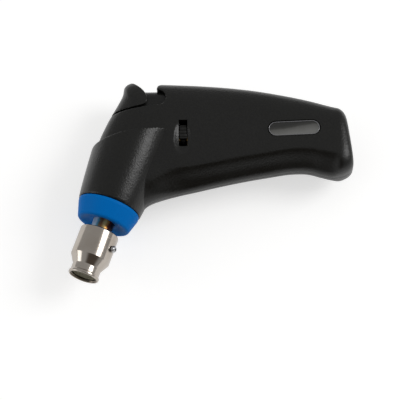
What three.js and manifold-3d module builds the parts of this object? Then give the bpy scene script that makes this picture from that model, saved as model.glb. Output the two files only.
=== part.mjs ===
// Gas hot air tool with a pistol grip, lying on its right side.
// Tool frame while building: x runs from nozzle to butt, y from finger side to back, z to the left side.
// The centre of the nose ring is the origin and z = 0 is the parting plane of the two housing halves.

import * as THREE from 'three';
import { mergeVertices } from 'three/addons/utils/BufferGeometryUtils.js';
import Module from 'manifold-3d';

const wasm = await Module();
wasm.setup();

// Fits
const FIT = 0.3;
const RUN = 0.4;
const PARTING_GAP = 0.3;

// Least edge and least triangle height left in a finished mesh
const SHORTEST_EDGE = 0.02;
const THINNEST = 0.005;

// Housing
const HEAD_HEIGHT = 75.2;
const GRIP_START = 50;
const GRIP_LENGTH = 87;
const BODY_HALF_WIDTH = 14;
const WALL = 2.4;
const NOSE_RADIUS = 17.9;
const BARREL_LEAN = 19.1;
const BARREL_FLARE = 5;
const COVE_DEPTH = 0.6;
const COVE_START = 0.7;
const COVE_END = 0.94;
const BUTT_EDGE = 5;
const SHOULDER_HEIGHT = 33.6;
const SHOULDER_TILT = 9.8;

// Trigger and the deck it slides on
const DECK_DROP = 20.3;
const DECK_THICKNESS = 2.4;
const TRIGGER_TRAVEL = 4;
const NOTCH_END = 33;
const NOTCH_RADIUS = 6.5;
const LIP_TIP = 27.4;
const SADDLE_HALF_WIDTH = 10.4;
const SADDLE_HEIGHT = 13.1;
const SADDLE_TAIL = 40;
const LEG_BACK = 39.1;
const LEG_THICKNESS = 3;
const LEG_HALF_WIDTH = 3;
const LEG_FOOT_HALF_WIDTH = 5;
const HORN_BACK = 22.3;
const HORN_WAIST = 7.9;

// Piezo igniter
const PIEZO_SIZE = 6.5;
const PIEZO_LENGTH = 19.5;
const PIEZO_BACK = 29.5;
const PIEZO_WALL = 1.5;
const PLUNGER_RADIUS = 2;
const PLUNGER_DEPTH = 8;

// Gas valve, fork and regulator
const VALVE_DROP = 14.2;
const VALVE_RADIUS = 4.2;
const VALVE_FLANGE_RADIUS = 6.5;
const VALVE_FLANGE_THICKNESS = 3.6;
const VALVE_THREAD_RADIUS = 4.8;
const VALVE_THREAD_LENGTH = 6.5;
const STEM_RADIUS = 1.6;
const STEM_COLLAR_RADIUS = 3;
const STEM_COLLAR_THICKNESS = 1.2;
const BARB_RADIUS = 1;
const BARB_LENGTH = 4;
const FORK_PIVOT_X = 35;
const FORK_PIVOT_DROP = 3.8;
const FORK_PIN_RADIUS = 1.2;
const FORK_ARM_INNER = 2.2;
const FORK_ARM_OUTER = 4;
const FORK_ARM_THICKNESS = 1.6;
const FORK_NOSE_RADIUS = 1.3;
const FORK_PIN_REACH = 3.5;
const FORK_BAR_LOW = 8.3;
const FORK_BAR_HIGH = 9.7;
const REGULATOR_X = 41.6;
const REGULATOR_RING_RADIUS = 7;
const REGULATOR_THICKNESS = 3.6;
const KNOB_LENGTH = 8;
const KNOB_RECESS = 0.5;
const REGULATOR_UP = 9;
const REGULATOR_DOWN = 18;
const DISH_HALF_WIDTH = 6;
const DISH_HALF_LENGTH = 12.5;
const DISH_DEPTH = 1.4;

// Fuel tank, window and filler
const TANK_SHARE = 0.139;
const TANK_END_GAP = 10.56;
const TANK_WALL = 2;
const WINDOW_SHARE = 0.626;
const WINDOW_Y = 42.4;
const WINDOW_LENGTH = 28.8;
const WINDOW_HEIGHT = 8.8;
const WINDOW_TURN = 2;
const WINDOW_FLANGE = 1;
const WINDOW_FLANGE_THICKNESS = 0.8;
const WINDOW_RECESS = 0.5;
const FILLER_HEIGHT = 37;
const FILLER_RADIUS = 4.5;
const FILLER_FLANGE = 2;
const FILLER_RECESS = 1.6;
const FILLER_STEM_RADIUS = 1.3;
const FILLER_STEM_LENGTH = 5;
const FILLER_TRAVEL = 1.2;
const FILLER_SEAL_THICKNESS = 1.5;

// Burner and nozzle, with lengths measured forward from the nose ring along the barrel
const COLLAR_REAR_RADIUS = 17.2;
const COLLAR_FRONT_RADIUS = 14;
const COLLAR_LENGTH = 10.6;
const COLLAR_EDGE = 3;
const COLLAR_DISH = 1.2;
const SPIGOT_LENGTH = 6;
const SPIGOT_WALL = 2.4;
const COLLAR_FRONT_WALL = 4.4;
const TUBE_RADIUS = 5.95;
const TUBE_WALL = 0.9;
const TUBE_FRONT = 26;
const TUBE_BACK = 19.7;
const CUP_BACK = 15;
const CUP_RADIUS = 11;
const CUP_SHOULDER = 1.1;
const CUP_CYLINDER_END = 31.5;
const CUP_NECK_START = 37;
const CUP_NECK_RADIUS = 8.4;
const CUP_LENGTH = 28.1;
const CUP_WALL = 0.7;
const LIP_RADIUS = 0.75;
const SCREEN_RECESS = 1.6;
const SCREEN_THICKNESS = 0.6;
const SCREEN_PITCH = 2.6;
const SCREEN_HOLE = 0.95;
const CATALYST_LENGTH = 3.2;
const NOZZLE_SCREW_STATION = 23;
const NOZZLE_SCREW_TURN = 22;
const NOZZLE_SCREW_RADIUS = 1.25;
const NOZZLE_SCREW_HEAD = 1.9;
const NOZZLE_SCREW_HEAD_HEIGHT = 2;
const BULKHEAD_THICKNESS = 3;
const BULKHEAD_GAP = 0.5;
const MIXER_RADIUS = 7;
const MIXER_LENGTH = 14;
const MIXER_SOCKET = 4;
const MIXER_BORE = 2.5;
const AIR_HOLE_RADIUS = 1.4;
const JET_FLANGE_RADIUS = 4;
const JET_FLANGE_THICKNESS = 1.5;
const ELECTRODE_STATION = 21.6;
const ELECTRODE_RADIUS = 0.8;
const ELECTRODE_CAP_RADIUS = 1.5;
const HOSE_RADIUS = 1.8;
const HOSE_BORE = 1.3;
const LEAD_RADIUS = 0.7;
const LEAD_CLEARANCE = 2.2;

// Housing screws, driven in from the right side: [x, y] in the head, [gap to the tank, y] in front of it,
// and the gap to the tank for the two behind it, which sit above and below the filler
const SCREW_RADIUS = 1.25;
const SCREW_HEAD_RADIUS = 2.6;
const SCREW_HEAD_HEIGHT = 2;
const SCREW_HEAD_DEPTH = 4.2;
const SCREW_REACH = 9;
const BOSS_RADIUS = 3.6;
const HEAD_SCREWS = [[26, 17], [3.4, 34.5]];
const VALVE_SCREWS = [[8.4, 27], [5.9, 60]];
const BUTT_SCREW_GAPS = [0.5, 1.9];

// Small helpers
const lean = THREE.MathUtils.degToRad(BARREL_LEAN);
const flat = (x, y) => new THREE.Vector2(x, y);
const at = (x, y, z = 0) => new THREE.Vector3(x, y, z);
const smooth = THREE.MathUtils.smoothstep;

function solidOf(geometry) {
  const bare = geometry.clone();
  bare.deleteAttribute('normal');
  bare.deleteAttribute('uv');
  const merged = mergeVertices(bare, 1e-4);
  const vertProperties = merged.attributes.position.array;
  const triVerts = new Uint32Array(merged.index.array);
  return new wasm.Manifold(new wasm.Mesh({ numProp: 3, vertProperties, triVerts }));
}

// Cuts leave points very close together: such points become one
function weldClose(points, triangles) {
  const leader = points.map((_, i) => i);
  const leaderOf = (start) => {
    let i = start;
    while (leader[i] !== i) {
      i = leader[i];
    }
    return i;
  };
  for (const triangle of triangles) {
    triangle.forEach((a, k) => {
      const b = triangle[(k + 1) % 3];
      if (points[a].distanceTo(points[b]) < SHORTEST_EDGE) {
        leader[leaderOf(a)] = leaderOf(b);
      }
    });
  }
  const welded = triangles.map((triangle) => triangle.map(leaderOf));
  return welded.filter(([a, b, c]) => a !== b && b !== c && c !== a);
}

// Cuts also leave triangles with next to no height: their long edge is turned to the point across it
function turnThin(points, triangles) {
  const owner = new Map();
  const key = (a, b) => a * points.length + b;
  const own = (triangle, i) => triangle.forEach((a, k) => owner.set(key(a, triangle[(k + 1) % 3]), i));
  triangles.forEach(own);
  let turned = 0;
  triangles.forEach((triangle, i) => {
    const lengths = triangle.map((a, k) => points[a].distanceTo(points[triangle[(k + 1) % 3]]));
    const k = lengths.indexOf(Math.max(...lengths));
    const [a, b, c] = [0, 1, 2].map((step) => triangle[(k + step) % 3]);
    const area = new THREE.Triangle(points[a], points[b], points[c]).getArea();
    const j = owner.get(key(b, a));
    const d = triangles[j].find((point) => point !== a && point !== b);
    if ((2 * area) / lengths[k] > THINNEST || owner.has(key(c, d)) || owner.has(key(d, c))) {
      return;
    }
    owner.delete(key(a, b));
    owner.delete(key(b, a));
    triangles[i] = [a, d, c];
    triangles[j] = [d, b, c];
    own(triangles[i], i);
    own(triangles[j], j);
    turned += 1;
  });
  return turned;
}

function geometryOf(solid) {
  const { numProp, vertProperties, triVerts } = solid.getMesh();
  const points = [];
  for (let i = 0; i < vertProperties.length; i += numProp) {
    points.push(at(...vertProperties.subarray(i, i + 3)));
  }
  const corners = [];
  for (let i = 0; i < triVerts.length; i += 3) {
    corners.push([...triVerts.subarray(i, i + 3)]);
  }
  const triangles = weldClose(points, corners);
  for (let pass = 0; pass < 5 && turnThin(points, triangles) > 0; pass += 1);
  const geometry = new THREE.BufferGeometry().setFromPoints(points);
  geometry.setIndex(triangles.flat());
  geometry.computeVertexNormals();
  return geometry;
}

function join(...solids) {
  return solids.reduce((whole, next) => whole.add(next));
}

function box(x0, x1, y0, y1, z0, z1) {
  const geometry = new THREE.BoxGeometry(x1 - x0, y1 - y0, z1 - z0);
  return solidOf(geometry.translate((x0 + x1) / 2, (y0 + y1) / 2, (z0 + z1) / 2));
}

// A shape drawn in x and y, given thickness from z0 to z1
function plate(shape, z0, z1, curveSegments = 8) {
  const geometry = new THREE.ExtrudeGeometry(shape, { depth: z1 - z0, bevelEnabled: false, curveSegments });
  return solidOf(geometry.translate(0, 0, z0));
}

// A round bar along z
function barZ(x, y, radius, z0, z1, sides = 10) {
  const geometry = new THREE.CylinderGeometry(radius, radius, z1 - z0, sides);
  return solidOf(geometry.rotateX(Math.PI / 2).translate(x, y, (z0 + z1) / 2));
}

// A turned profile of [radius, x] points about a line along x at height y
function turnedX(profile, y, sides = 16) {
  const points = profile.map(([radius, x]) => flat(radius, -x));
  const geometry = new THREE.LatheGeometry(points.reverse(), sides);
  return solidOf(geometry.rotateZ(Math.PI / 2).translate(0, y, 0));
}

// A turned profile of [radius, station] points about the barrel line, stations counted forward from the nose
function turnedBarrel(profile, sides = 32) {
  const points = profile.map(([radius, station]) => flat(radius, -station));
  const geometry = new THREE.LatheGeometry(points.reverse(), sides);
  return solidOf(geometry.rotateZ(-lean));
}

// A point given by its station along the barrel and its offset to the front-left side
function barrelPoint(station, offset = 0, z = 0) {
  const x = -Math.sin(lean) * station - Math.cos(lean) * offset;
  const y = -Math.cos(lean) * station + Math.sin(lean) * offset;
  return at(x, y, z);
}

function roundRod(points, radius, bore, steps, sides) {
  const section = new THREE.Shape();
  section.absarc(0, 0, radius, 0, Math.PI * 2);
  if (bore > 0) {
    const hole = new THREE.Path();
    hole.absarc(0, 0, bore, 0, Math.PI * 2, true);
    section.holes.push(hole);
  }
  const extrudePath = new THREE.CatmullRomCurve3(points, false, 'centripetal');
  return solidOf(new THREE.ExtrudeGeometry(section, { extrudePath, steps, curveSegments: sides }));
}

// Body stations: a line from the back of the body to its finger side at each, the half width between them,
// how square the section is (2 is round) and how deep the finger cove is cut
const noseBack = barrelPoint(0, NOSE_RADIUS);
const noseBelly = barrelPoint(0, -NOSE_RADIUS);
const grip = (share) => GRIP_START + GRIP_LENGTH * share;
const bodyStations = [
  [[noseBack.x, noseBack.y], [noseBelly.x, noseBelly.y], BODY_HALF_WIDTH, 2, 0],
  [[-13.2, 15.7], [18, -2.8], BODY_HALF_WIDTH, 2.05, 0],
  [[-10, 26], [20.4, 0.8], BODY_HALF_WIDTH, 2.15, 0],
  [[-6.5, 38], [24, 3.2], BODY_HALF_WIDTH, 2.3, 0.1],
  [[-1.2, 50.4], [29, 5.1], BODY_HALF_WIDTH, 2.6, 0.3],
  [[7.3, HEAD_HEIGHT - 8.2], [34.6, 6.6], BODY_HALF_WIDTH, 2.8, 0.6],
  [[8.5, HEAD_HEIGHT - 2.8], [38, 7.4], BODY_HALF_WIDTH, 2.9, 0.75],
  [[12.4, HEAD_HEIGHT - 0.4], [41.5, 8.2], BODY_HALF_WIDTH, 3, 0.9],
  [[28, HEAD_HEIGHT - 1.8], [49, 9.9], BODY_HALF_WIDTH, 3.2, 1],
  [[50, HEAD_HEIGHT - 3.1], [60, 12.5], BODY_HALF_WIDTH, 3.2, 1],
  [[grip(0.197), HEAD_HEIGHT - 4.7], [grip(0.278), 15.5], BODY_HALF_WIDTH, 3.2, 1],
  [[grip(0.394), HEAD_HEIGHT - 7.2], [grip(0.44), 18], BODY_HALF_WIDTH, 3.2, 1],
  [[grip(0.59), HEAD_HEIGHT - 10.8], [grip(0.59), 20], BODY_HALF_WIDTH, 3.2, 1],
  [[grip(0.718), HEAD_HEIGHT - 13.6], [grip(0.7), 19.9], BODY_HALF_WIDTH, 3.2, 1],
  [[grip(0.81), HEAD_HEIGHT - 16], [grip(0.789), 17.8], BODY_HALF_WIDTH, 3.2, 0.95],
  [[grip(0.877), HEAD_HEIGHT - 17.8], [grip(0.854), 16.6], BODY_HALF_WIDTH, 3.3, 0.75],
  [[grip(0.898), HEAD_HEIGHT - 18.3], [grip(0.898), 16.9], BODY_HALF_WIDTH, 3.4, 0.05],
  [[grip(0.947), HEAD_HEIGHT - 19.5], [grip(0.995), 18.4], BODY_HALF_WIDTH, 3.4, 0],
];
const lastStation = bodyStations.length - 1;
const curveThrough = (points) => new THREE.CatmullRomCurve3(points, false, 'centripetal');
const backLine = curveThrough(bodyStations.map(([back]) => at(...back)));
const bellyLine = curveThrough(bodyStations.map(([, belly]) => at(...belly)));

function stationShape(station) {
  const lower = Math.min(Math.floor(station), lastStation - 1);
  const part = station - lower;
  const blend = (index) => THREE.MathUtils.lerp(bodyStations[lower][index], bodyStations[lower + 1][index], part);
  return { half: blend(2), square: blend(3), cove: blend(4) * COVE_DEPTH };
}

// One closed ring of the body, moved inwards by the inset
function bodyRing(station, inset, steps) {
  const back = backLine.getPoint(station / lastStation);
  const belly = bellyLine.getPoint(station / lastStation);
  const { half, square, cove } = stationShape(station);
  const along = belly.clone().sub(back).normalize();
  const depth = back.distanceTo(belly);
  const edge = inset / depth;
  const outerHalf = (q) => {
    const fullness = (1 - Math.abs(2 * q - 1) ** square) ** (1 / square);
    return half * fullness * (1 - cove * smooth(q, COVE_START, COVE_END));
  };
  const side = [];
  for (let i = 0; i <= steps; i += 1) {
    const angle = (Math.PI * i) / steps;
    const reach = Math.cos(angle);
    const inner = 0.5 * (1 - Math.sign(reach) * Math.abs(reach) ** (2 / square));
    const q = edge + (1 - 2 * edge) * inner;
    const round = (half - inset) * Math.abs(Math.sin(angle)) ** (2 / square);
    const z = i === 0 || i === steps ? 0 : Math.min(round, outerHalf(q) - inset);
    side.push(back.clone().addScaledVector(along, q * depth).setZ(z));
  }
  const other = side.slice(1, -1).reverse();
  return [...side, ...other.map((point) => at(point.x, point.y, -point.z))];
}

// A closed skin through rings of equal count, with a fan of triangles over each end
function loft(rings) {
  const count = rings[0].length;
  const points = rings.flat();
  const index = [];
  for (let r = 0; r < rings.length - 1; r += 1) {
    for (let i = 0; i < count; i += 1) {
      const a = r * count + i;
      const b = r * count + ((i + 1) % count);
      index.push(a, b, a + count, b, b + count, a + count);
    }
  }
  const endFan = (ring, start, flip) => {
    const centre = ring.reduce((sum, point) => sum.add(point), at(0, 0)).divideScalar(count);
    points.push(centre);
    const hub = points.length - 1;
    for (let i = 0; i < count; i += 1) {
      const next = start + ((i + 1) % count);
      index.push(hub, flip ? start + i : next, flip ? next : start + i);
    }
  };
  endFan(rings[0], 0, false);
  endFan(rings[rings.length - 1], (rings.length - 1) * count, true);
  const geometry = new THREE.BufferGeometry().setFromPoints(points);
  geometry.setIndex(index);
  return solidOf(geometry);
}

function stationsBetween(first, last, step) {
  const count = Math.round((last - first) / step);
  return Array.from({ length: count + 1 }, (_, i) => first + ((last - first) * i) / count);
}

// Outer form of the body, with a rounded edge at the butt
const buttSpan = backLine.getPoint(1).distanceTo(backLine.getPoint((lastStation - 1) / lastStation));
function bodyForm(steps) {
  const buttStart = lastStation - BUTT_EDGE / buttSpan;
  const spots = [0.2, ...stationsBetween(1, 3, 1), ...stationsBetween(4, 9, 0.5), ...stationsBetween(10, 13, 1), 14, 15, 15.5];
  const rings = spots.filter((station) => station < buttStart - 0.2).map((station) => bodyRing(station, 0, steps));
  for (const turn of [0, 22.5, 45, 67.5, 90]) {
    const angle = THREE.MathUtils.degToRad(turn);
    const fromEnd = BUTT_EDGE * (1 - Math.sin(angle));
    rings.push(bodyRing(lastStation - fromEnd / buttSpan, BUTT_EDGE * (1 - Math.cos(angle)), steps));
  }
  return loft(rings);
}

// Inner form of the body at a given distance inside the outer one
function innerForm(inset, first, last, steps) {
  return loft(stationsBetween(first, last, 1).map((station) => bodyRing(station, inset, steps)));
}

// The round barrel widens from the nose ring up to a slanting shoulder on the head
function barrelForm(inset, sides) {
  const reach = 75;
  const radius = NOSE_RADIUS - inset;
  const wide = radius + reach * Math.tan(THREE.MathUtils.degToRad(BARREL_FLARE));
  const cone = turnedBarrel([[0, -reach], [wide, -reach], [radius, 0], [0, 0]], sides);
  const tilt = Math.tan(THREE.MathUtils.degToRad(SHOULDER_TILT));
  const line = (x) => SHOULDER_HEIGHT - inset + tilt * (x - noseBack.x);
  const below = new THREE.Shape([flat(-60, -60), flat(90, -60), flat(90, line(90)), flat(-60, line(-60))]);
  return cone.intersect(plate(below, -60, 60));
}

const deckHeight = HEAD_HEIGHT - DECK_DROP;
const deckUnder = deckHeight - DECK_THICKNESS;
const bodyEnd = lastStation - WALL / buttSpan;
const outerForm = bodyForm(12);
const far = 80;

// Shapes shared by pieces that fit each other
function archShape(halfWidth, bottom, top, corner) {
  const shape = new THREE.Shape();
  shape.moveTo(-halfWidth, bottom);
  shape.lineTo(halfWidth, bottom);
  shape.lineTo(halfWidth, top - corner);
  shape.absarc(halfWidth - corner, top - corner, corner, 0, Math.PI / 2);
  shape.absarc(corner - halfWidth, top - corner, corner, Math.PI / 2, Math.PI);
  return shape;
}

function archX(halfWidth, bottom, top, corner, x0, x1) {
  const options = { depth: x1 - x0, bevelEnabled: false, curveSegments: 6 };
  const geometry = new THREE.ExtrudeGeometry(archShape(halfWidth, bottom, top, corner), options);
  return solidOf(geometry.rotateY(Math.PI / 2).translate(x0, 0, 0));
}

function oblong(length, height, side, z0, z1) {
  const radius = height / 2;
  const straight = length / 2 - radius;
  const shape = new THREE.Shape();
  shape.absarc(straight, 0, radius, -Math.PI / 2, Math.PI / 2);
  shape.absarc(-straight, 0, radius, Math.PI / 2, Math.PI * 1.5);
  const geometry = new THREE.ExtrudeGeometry(shape, { depth: z1 - z0, bevelEnabled: false, curveSegments: 6 });
  geometry.translate(0, 0, side > 0 ? z0 : -z1).rotateZ(THREE.MathUtils.degToRad(WINDOW_TURN));
  return solidOf(geometry.translate(windowX, WINDOW_Y, 0));
}

// Places that follow from the sizes above
const valveHeight = deckHeight - VALVE_DROP;
const saddleTop = deckHeight + SADDLE_HEIGHT;
const lipUnder = saddleTop + RUN;
const saddleCorner = 5.6;
const piezoFront = PIEZO_BACK - PIEZO_LENGTH;
const piezoTop = deckUnder - FIT;
const piezoHeight = piezoTop - PIEZO_SIZE / 2;
const legFront = LEG_BACK - LEG_THICKNESS;
const forkPivotY = valveHeight - FORK_PIVOT_DROP;
const forkFace = FORK_PIVOT_X - FORK_ARM_THICKNESS / 2;
const forkPinEnd = FORK_ARM_OUTER + FORK_PIN_REACH;
const footHeight = forkPivotY + FORK_BAR_LOW + 0.1;
const collarBack = forkFace - FORK_NOSE_RADIUS - FIT;
const collarFront = collarBack - STEM_COLLAR_THICKNESS;
const ringFront = REGULATOR_X - REGULATOR_THICKNESS / 2;
const ringBack = REGULATOR_X + REGULATOR_THICKNESS / 2;
const tankInset = WALL + RUN;
const spigotRadius = NOSE_RADIUS - WALL - FIT;
const bulkheadRadius = NOSE_RADIUS - WALL - BULKHEAD_GAP;
const tubeHole = TUBE_RADIUS + FIT;
const windowSeat = BODY_HALF_WIDTH - WALL + WINDOW_FLANGE_THICKNESS;
const screwSeat = BODY_HALF_WIDTH - SCREW_HEAD_DEPTH - SCREW_HEAD_HEIGHT;
const buttTop = bodyStations[lastStation][0];
const buttFoot = bodyStations[lastStation][1];
const buttShare = (buttTop[1] - FILLER_HEIGHT) / (buttTop[1] - buttFoot[1]);
const buttFace = THREE.MathUtils.lerp(buttTop[0], buttFoot[0], buttShare);
const fillerEnd = buttFace - FILLER_RECESS;
const windowX = grip(WINDOW_SHARE);
const tankFront = grip(TANK_SHARE);
const tankBack = buttFace - TANK_END_GAP;
const fillerRim = FILLER_RADIUS + FILLER_FLANGE;
const fillerReach = fillerRim + RUN + BOSS_RADIUS;
const screwPlaces = [
  ...HEAD_SCREWS,
  ...VALVE_SCREWS.map(([gap, y]) => [tankFront - BOSS_RADIUS - gap, y]),
  [tankBack + BOSS_RADIUS + BUTT_SCREW_GAPS[0], FILLER_HEIGHT + fillerReach],
  [tankBack + BOSS_RADIUS + BUTT_SCREW_GAPS[1], FILLER_HEIGHT - fillerReach],
];

// Notch in which the trigger moves, open to both sides
function notchCutter() {
  const corner = 2;
  const tip = 1.5;
  const shape = new THREE.Shape();
  shape.moveTo(-far, deckHeight);
  shape.lineTo(NOTCH_END - NOTCH_RADIUS, deckHeight);
  shape.absarc(NOTCH_END - NOTCH_RADIUS, deckHeight + NOTCH_RADIUS, NOTCH_RADIUS, -Math.PI / 2, 0);
  shape.absarc(NOTCH_END - corner, lipUnder - corner, corner, 0, Math.PI / 2);
  shape.absarc(LIP_TIP + tip, lipUnder + tip, tip, -Math.PI / 2, -Math.PI, true);
  shape.lineTo(LIP_TIP, far * 2);
  shape.lineTo(-far, far * 2);
  return plate(shape, -far, far, 8);
}

// Everything hollow inside the housing, and the cradle and bearings left standing in it
const headRoof = box(-far, SADDLE_TAIL + 7, deckUnder, far * 2, -far, far);
const noseBore = turnedBarrel([
  [0, -9], [NOSE_RADIUS - WALL, -9], [NOSE_RADIUS - WALL, 1], [0, 1],
]);
const cavity = join(innerForm(WALL, 0.5, bodyEnd, 8).subtract(headRoof), barrelForm(WALL, 28), noseBore);
const cradleSide = PIEZO_SIZE / 2 + FIT;
const cradle = box(
  piezoFront - FIT - PIEZO_WALL, PIEZO_BACK + FIT,
  piezoTop - PIEZO_SIZE - FIT - PIEZO_WALL, deckUnder + 0.5,
  -cradleSide - PIEZO_WALL, cradleSide + PIEZO_WALL,
);
const piezoPocket = box(
  piezoFront - FIT, PIEZO_BACK + 2,
  piezoTop - PIEZO_SIZE - FIT, deckUnder,
  -cradleSide, cradleSide,
);
const leadHole = turnedX([
  [0, piezoFront - 4], [LEAD_RADIUS + FIT, piezoFront - 4], [LEAD_RADIUS + FIT, piezoFront + 1], [0, piezoFront + 1],
], piezoHeight, 12);
const legSlot = box(
  legFront - TRIGGER_TRAVEL - RUN, LEG_BACK + RUN,
  deckUnder - 1, deckHeight + 1,
  -LEG_HALF_WIDTH - RUN, LEG_HALF_WIDTH + RUN,
);
const tunnel = archX(
  SADDLE_HALF_WIDTH + RUN, deckHeight, saddleTop + RUN, saddleCorner + RUN,
  LIP_TIP - 8, SADDLE_TAIL + RUN,
);
const fillerBore = turnedX([
  [0, tankBack], [FILLER_RADIUS + FIT, tankBack], [FILLER_RADIUS + FIT, far * 2], [0, far * 2],
], FILLER_HEIGHT);

function windowCut(side) {
  const wallInside = BODY_HALF_WIDTH - WALL;
  const through = oblong(WINDOW_LENGTH, WINDOW_HEIGHT, side, wallInside - 2, BODY_HALF_WIDTH + 3);
  const span = 2 * WINDOW_FLANGE;
  const seat = oblong(WINDOW_LENGTH + span, WINDOW_HEIGHT + span, side, wallInside - 1, windowSeat);
  return join(through, seat);
}

// One half of the housing: side is +1 for the left half, -1 for the right half
function housingHalf(side) {
  const inner = side > 0 ? [PARTING_GAP / 2, far] : [-far, -PARTING_GAP / 2];
  const half = box(-far, far * 2, -far, far * 2, ...inner);
  const bosses = screwPlaces.map(([x, y]) => barZ(x, y, BOSS_RADIUS, -far, far, 8));
  const bearingSpan = side > 0 ? [FORK_ARM_OUTER + RUN, far] : [-far, -FORK_ARM_OUTER - RUN];
  const bearing = barZ(FORK_PIVOT_X, forkPivotY, FORK_PIN_RADIUS + RUN + 1.6, ...bearingSpan);
  const pinBore = barZ(FORK_PIVOT_X, forkPivotY, FORK_PIN_RADIUS + RUN, -forkPinEnd - RUN, forkPinEnd + RUN);
  const whole = join(outerForm, barrelForm(0, 40));
  const root = 0.75 * WALL;
  const rooted = join(innerForm(root, 0.25, lastStation - root / buttSpan, 8), barrelForm(root, 28));
  const standing = join(cradle, bearing, ...bosses).intersect(rooted);
  let shell = join(whole.subtract(cavity), standing);
  for (const cut of [piezoPocket, leadHole, pinBore, notchCutter(), tunnel, legSlot, fillerBore, windowCut(side)]) {
    shell = shell.subtract(cut);
  }
  return shell.intersect(half);
}

function leftHousing() {
  const screwHoles = screwPlaces.map(([x, y]) => barZ(x, y, SCREW_RADIUS + FIT, -1, SCREW_REACH + 1, 8));
  const dishHeight = DISH_DEPTH * 1.6;
  const dish = new THREE.SphereGeometry(1, 20, 10);
  dish.scale(DISH_HALF_WIDTH, DISH_HALF_LENGTH, dishHeight);
  const middle = (slotTop + slotBottom) / 2;
  dish.translate(REGULATOR_X, middle, BODY_HALF_WIDTH + dishHeight - DISH_DEPTH);
  const slot = box(
    REGULATOR_X - knobHalfWidth - RUN, REGULATOR_X + knobHalfWidth + RUN,
    slotBottom, slotTop,
    BODY_HALF_WIDTH - WALL - 4, BODY_HALF_WIDTH + 4,
  );
  return housingHalf(1).subtract(join(...screwHoles)).subtract(solidOf(dish)).subtract(slot);
}

function rightHousing() {
  const holes = screwPlaces.map(([x, y]) => join(
    barZ(x, y, SCREW_RADIUS + FIT, -far, 1, 8),
    barZ(x, y, SCREW_HEAD_RADIUS + FIT, -far, -screwSeat, 12),
  ));
  return housingHalf(-1).subtract(join(...holes));
}

// Trigger: a horn that carries on the form of the head, a saddle behind it and a leg through the deck
function triggerSolid() {
  const floor = deckHeight + RUN;
  const shape = new THREE.Shape();
  shape.moveTo(-far, floor);
  const waist = floor + HORN_WAIST;
  shape.lineTo(HORN_BACK - 7.8, floor);
  shape.bezierCurveTo(HORN_BACK - 2.8, floor, HORN_BACK + 0.1, waist - 4.4, HORN_BACK, waist);
  shape.bezierCurveTo(HORN_BACK - 0.2, waist + 4.8, HORN_BACK - 3.5, waist + 9.8, HORN_BACK - 9.9, waist + 14.2);
  shape.lineTo(HORN_BACK - 9.9, far * 2);
  shape.lineTo(-far, far * 2);
  const horn = outerForm.intersect(plate(shape, -far, far, 10));
  const saddle = archX(SADDLE_HALF_WIDTH, floor, saddleTop, saddleCorner, 15, SADDLE_TAIL);
  const neck = box(legFront, LEG_BACK, deckUnder - 1, floor + 1, -LEG_HALF_WIDTH, LEG_HALF_WIDTH);
  const foot = box(
    legFront, LEG_BACK,
    footHeight, deckUnder - RUN,
    -LEG_FOOT_HALF_WIDTH, LEG_FOOT_HALF_WIDTH,
  );
  return join(horn, saddle, neck, foot);
}

// Piezo igniter, its plunger, the lead and the electrode
function piezoSolid() {
  const body = box(
    piezoFront, PIEZO_BACK,
    piezoTop - PIEZO_SIZE, piezoTop,
    -PIEZO_SIZE / 2, PIEZO_SIZE / 2,
  );
  const bore = PLUNGER_RADIUS + RUN;
  const start = PIEZO_BACK - PLUNGER_DEPTH - TRIGGER_TRAVEL - RUN;
  const hole = turnedX([[0, start], [bore, start], [bore, PIEZO_BACK + 1], [0, PIEZO_BACK + 1]], piezoHeight, 20);
  return body.subtract(hole);
}

function plungerSolid() {
  const front = PIEZO_BACK - PLUNGER_DEPTH;
  const back = legFront - FIT;
  const edge = 0.5;
  return turnedX([
    [0, front], [PLUNGER_RADIUS, front],
    [PLUNGER_RADIUS, back - edge], [PLUNGER_RADIUS - edge, back], [0, back],
  ], piezoHeight, 20);
}

// The inner face of the barrel's back wall at a given height
function backWall(height) {
  let low = 0;
  let high = 6;
  for (let i = 0; i < 20; i += 1) {
    const middle = (low + high) / 2;
    if (backLine.getPoint(middle / lastStation).y < height) {
      low = middle;
    } else {
      high = middle;
    }
  }
  return backLine.getPoint(low / lastStation).x + WALL * 1.15;
}

function leadSolid() {
  const start = at(piezoFront - 2.5, piezoHeight);
  const end = barrelPoint(-ELECTRODE_STATION - ELECTRODE_CAP_RADIUS - LEAD_RADIUS - FIT, MIXER_RADIUS + 1.4);
  const heights = [0.13, 0.3].map((share) => THREE.MathUtils.lerp(start.y, end.y, share));
  const besideScrew = HEAD_SCREWS[1][1];
  const sweep = [...heights, besideScrew].map((height) => at(backWall(height) + LEAD_CLEARANCE, height));
  return roundRod([at(piezoFront - FIT, piezoHeight), start, ...sweep, end], LEAD_RADIUS, 0, 18, 3);
}

function electrodeSolid() {
  const cap = MIXER_RADIUS + FIT;
  const profile = [
    [0, 1], [ELECTRODE_RADIUS, 1], [ELECTRODE_RADIUS, cap],
    [ELECTRODE_CAP_RADIUS, cap], [ELECTRODE_CAP_RADIUS, cap + 2.2], [0, cap + 2.2],
  ];
  return radialSolid(profile, -ELECTRODE_STATION, 180, 12);
}

// Sets a form built along y so that it stands out from the barrel line;
// turn 0 points to the finger side, 90 to the left side
function standOut(geometry, station, turn) {
  geometry.rotateZ(-Math.PI / 2).rotateY(-THREE.MathUtils.degToRad(turn)).rotateZ(-lean);
  const place = barrelPoint(station);
  return geometry.translate(place.x, place.y, 0);
}

// A turned profile of [radius, distance from the barrel line] points
function radialSolid(profile, station, turn, sides) {
  const geometry = new THREE.LatheGeometry(profile.map(([radius, reach]) => flat(radius, reach)), sides);
  return solidOf(standOut(geometry, station, turn));
}

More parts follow.
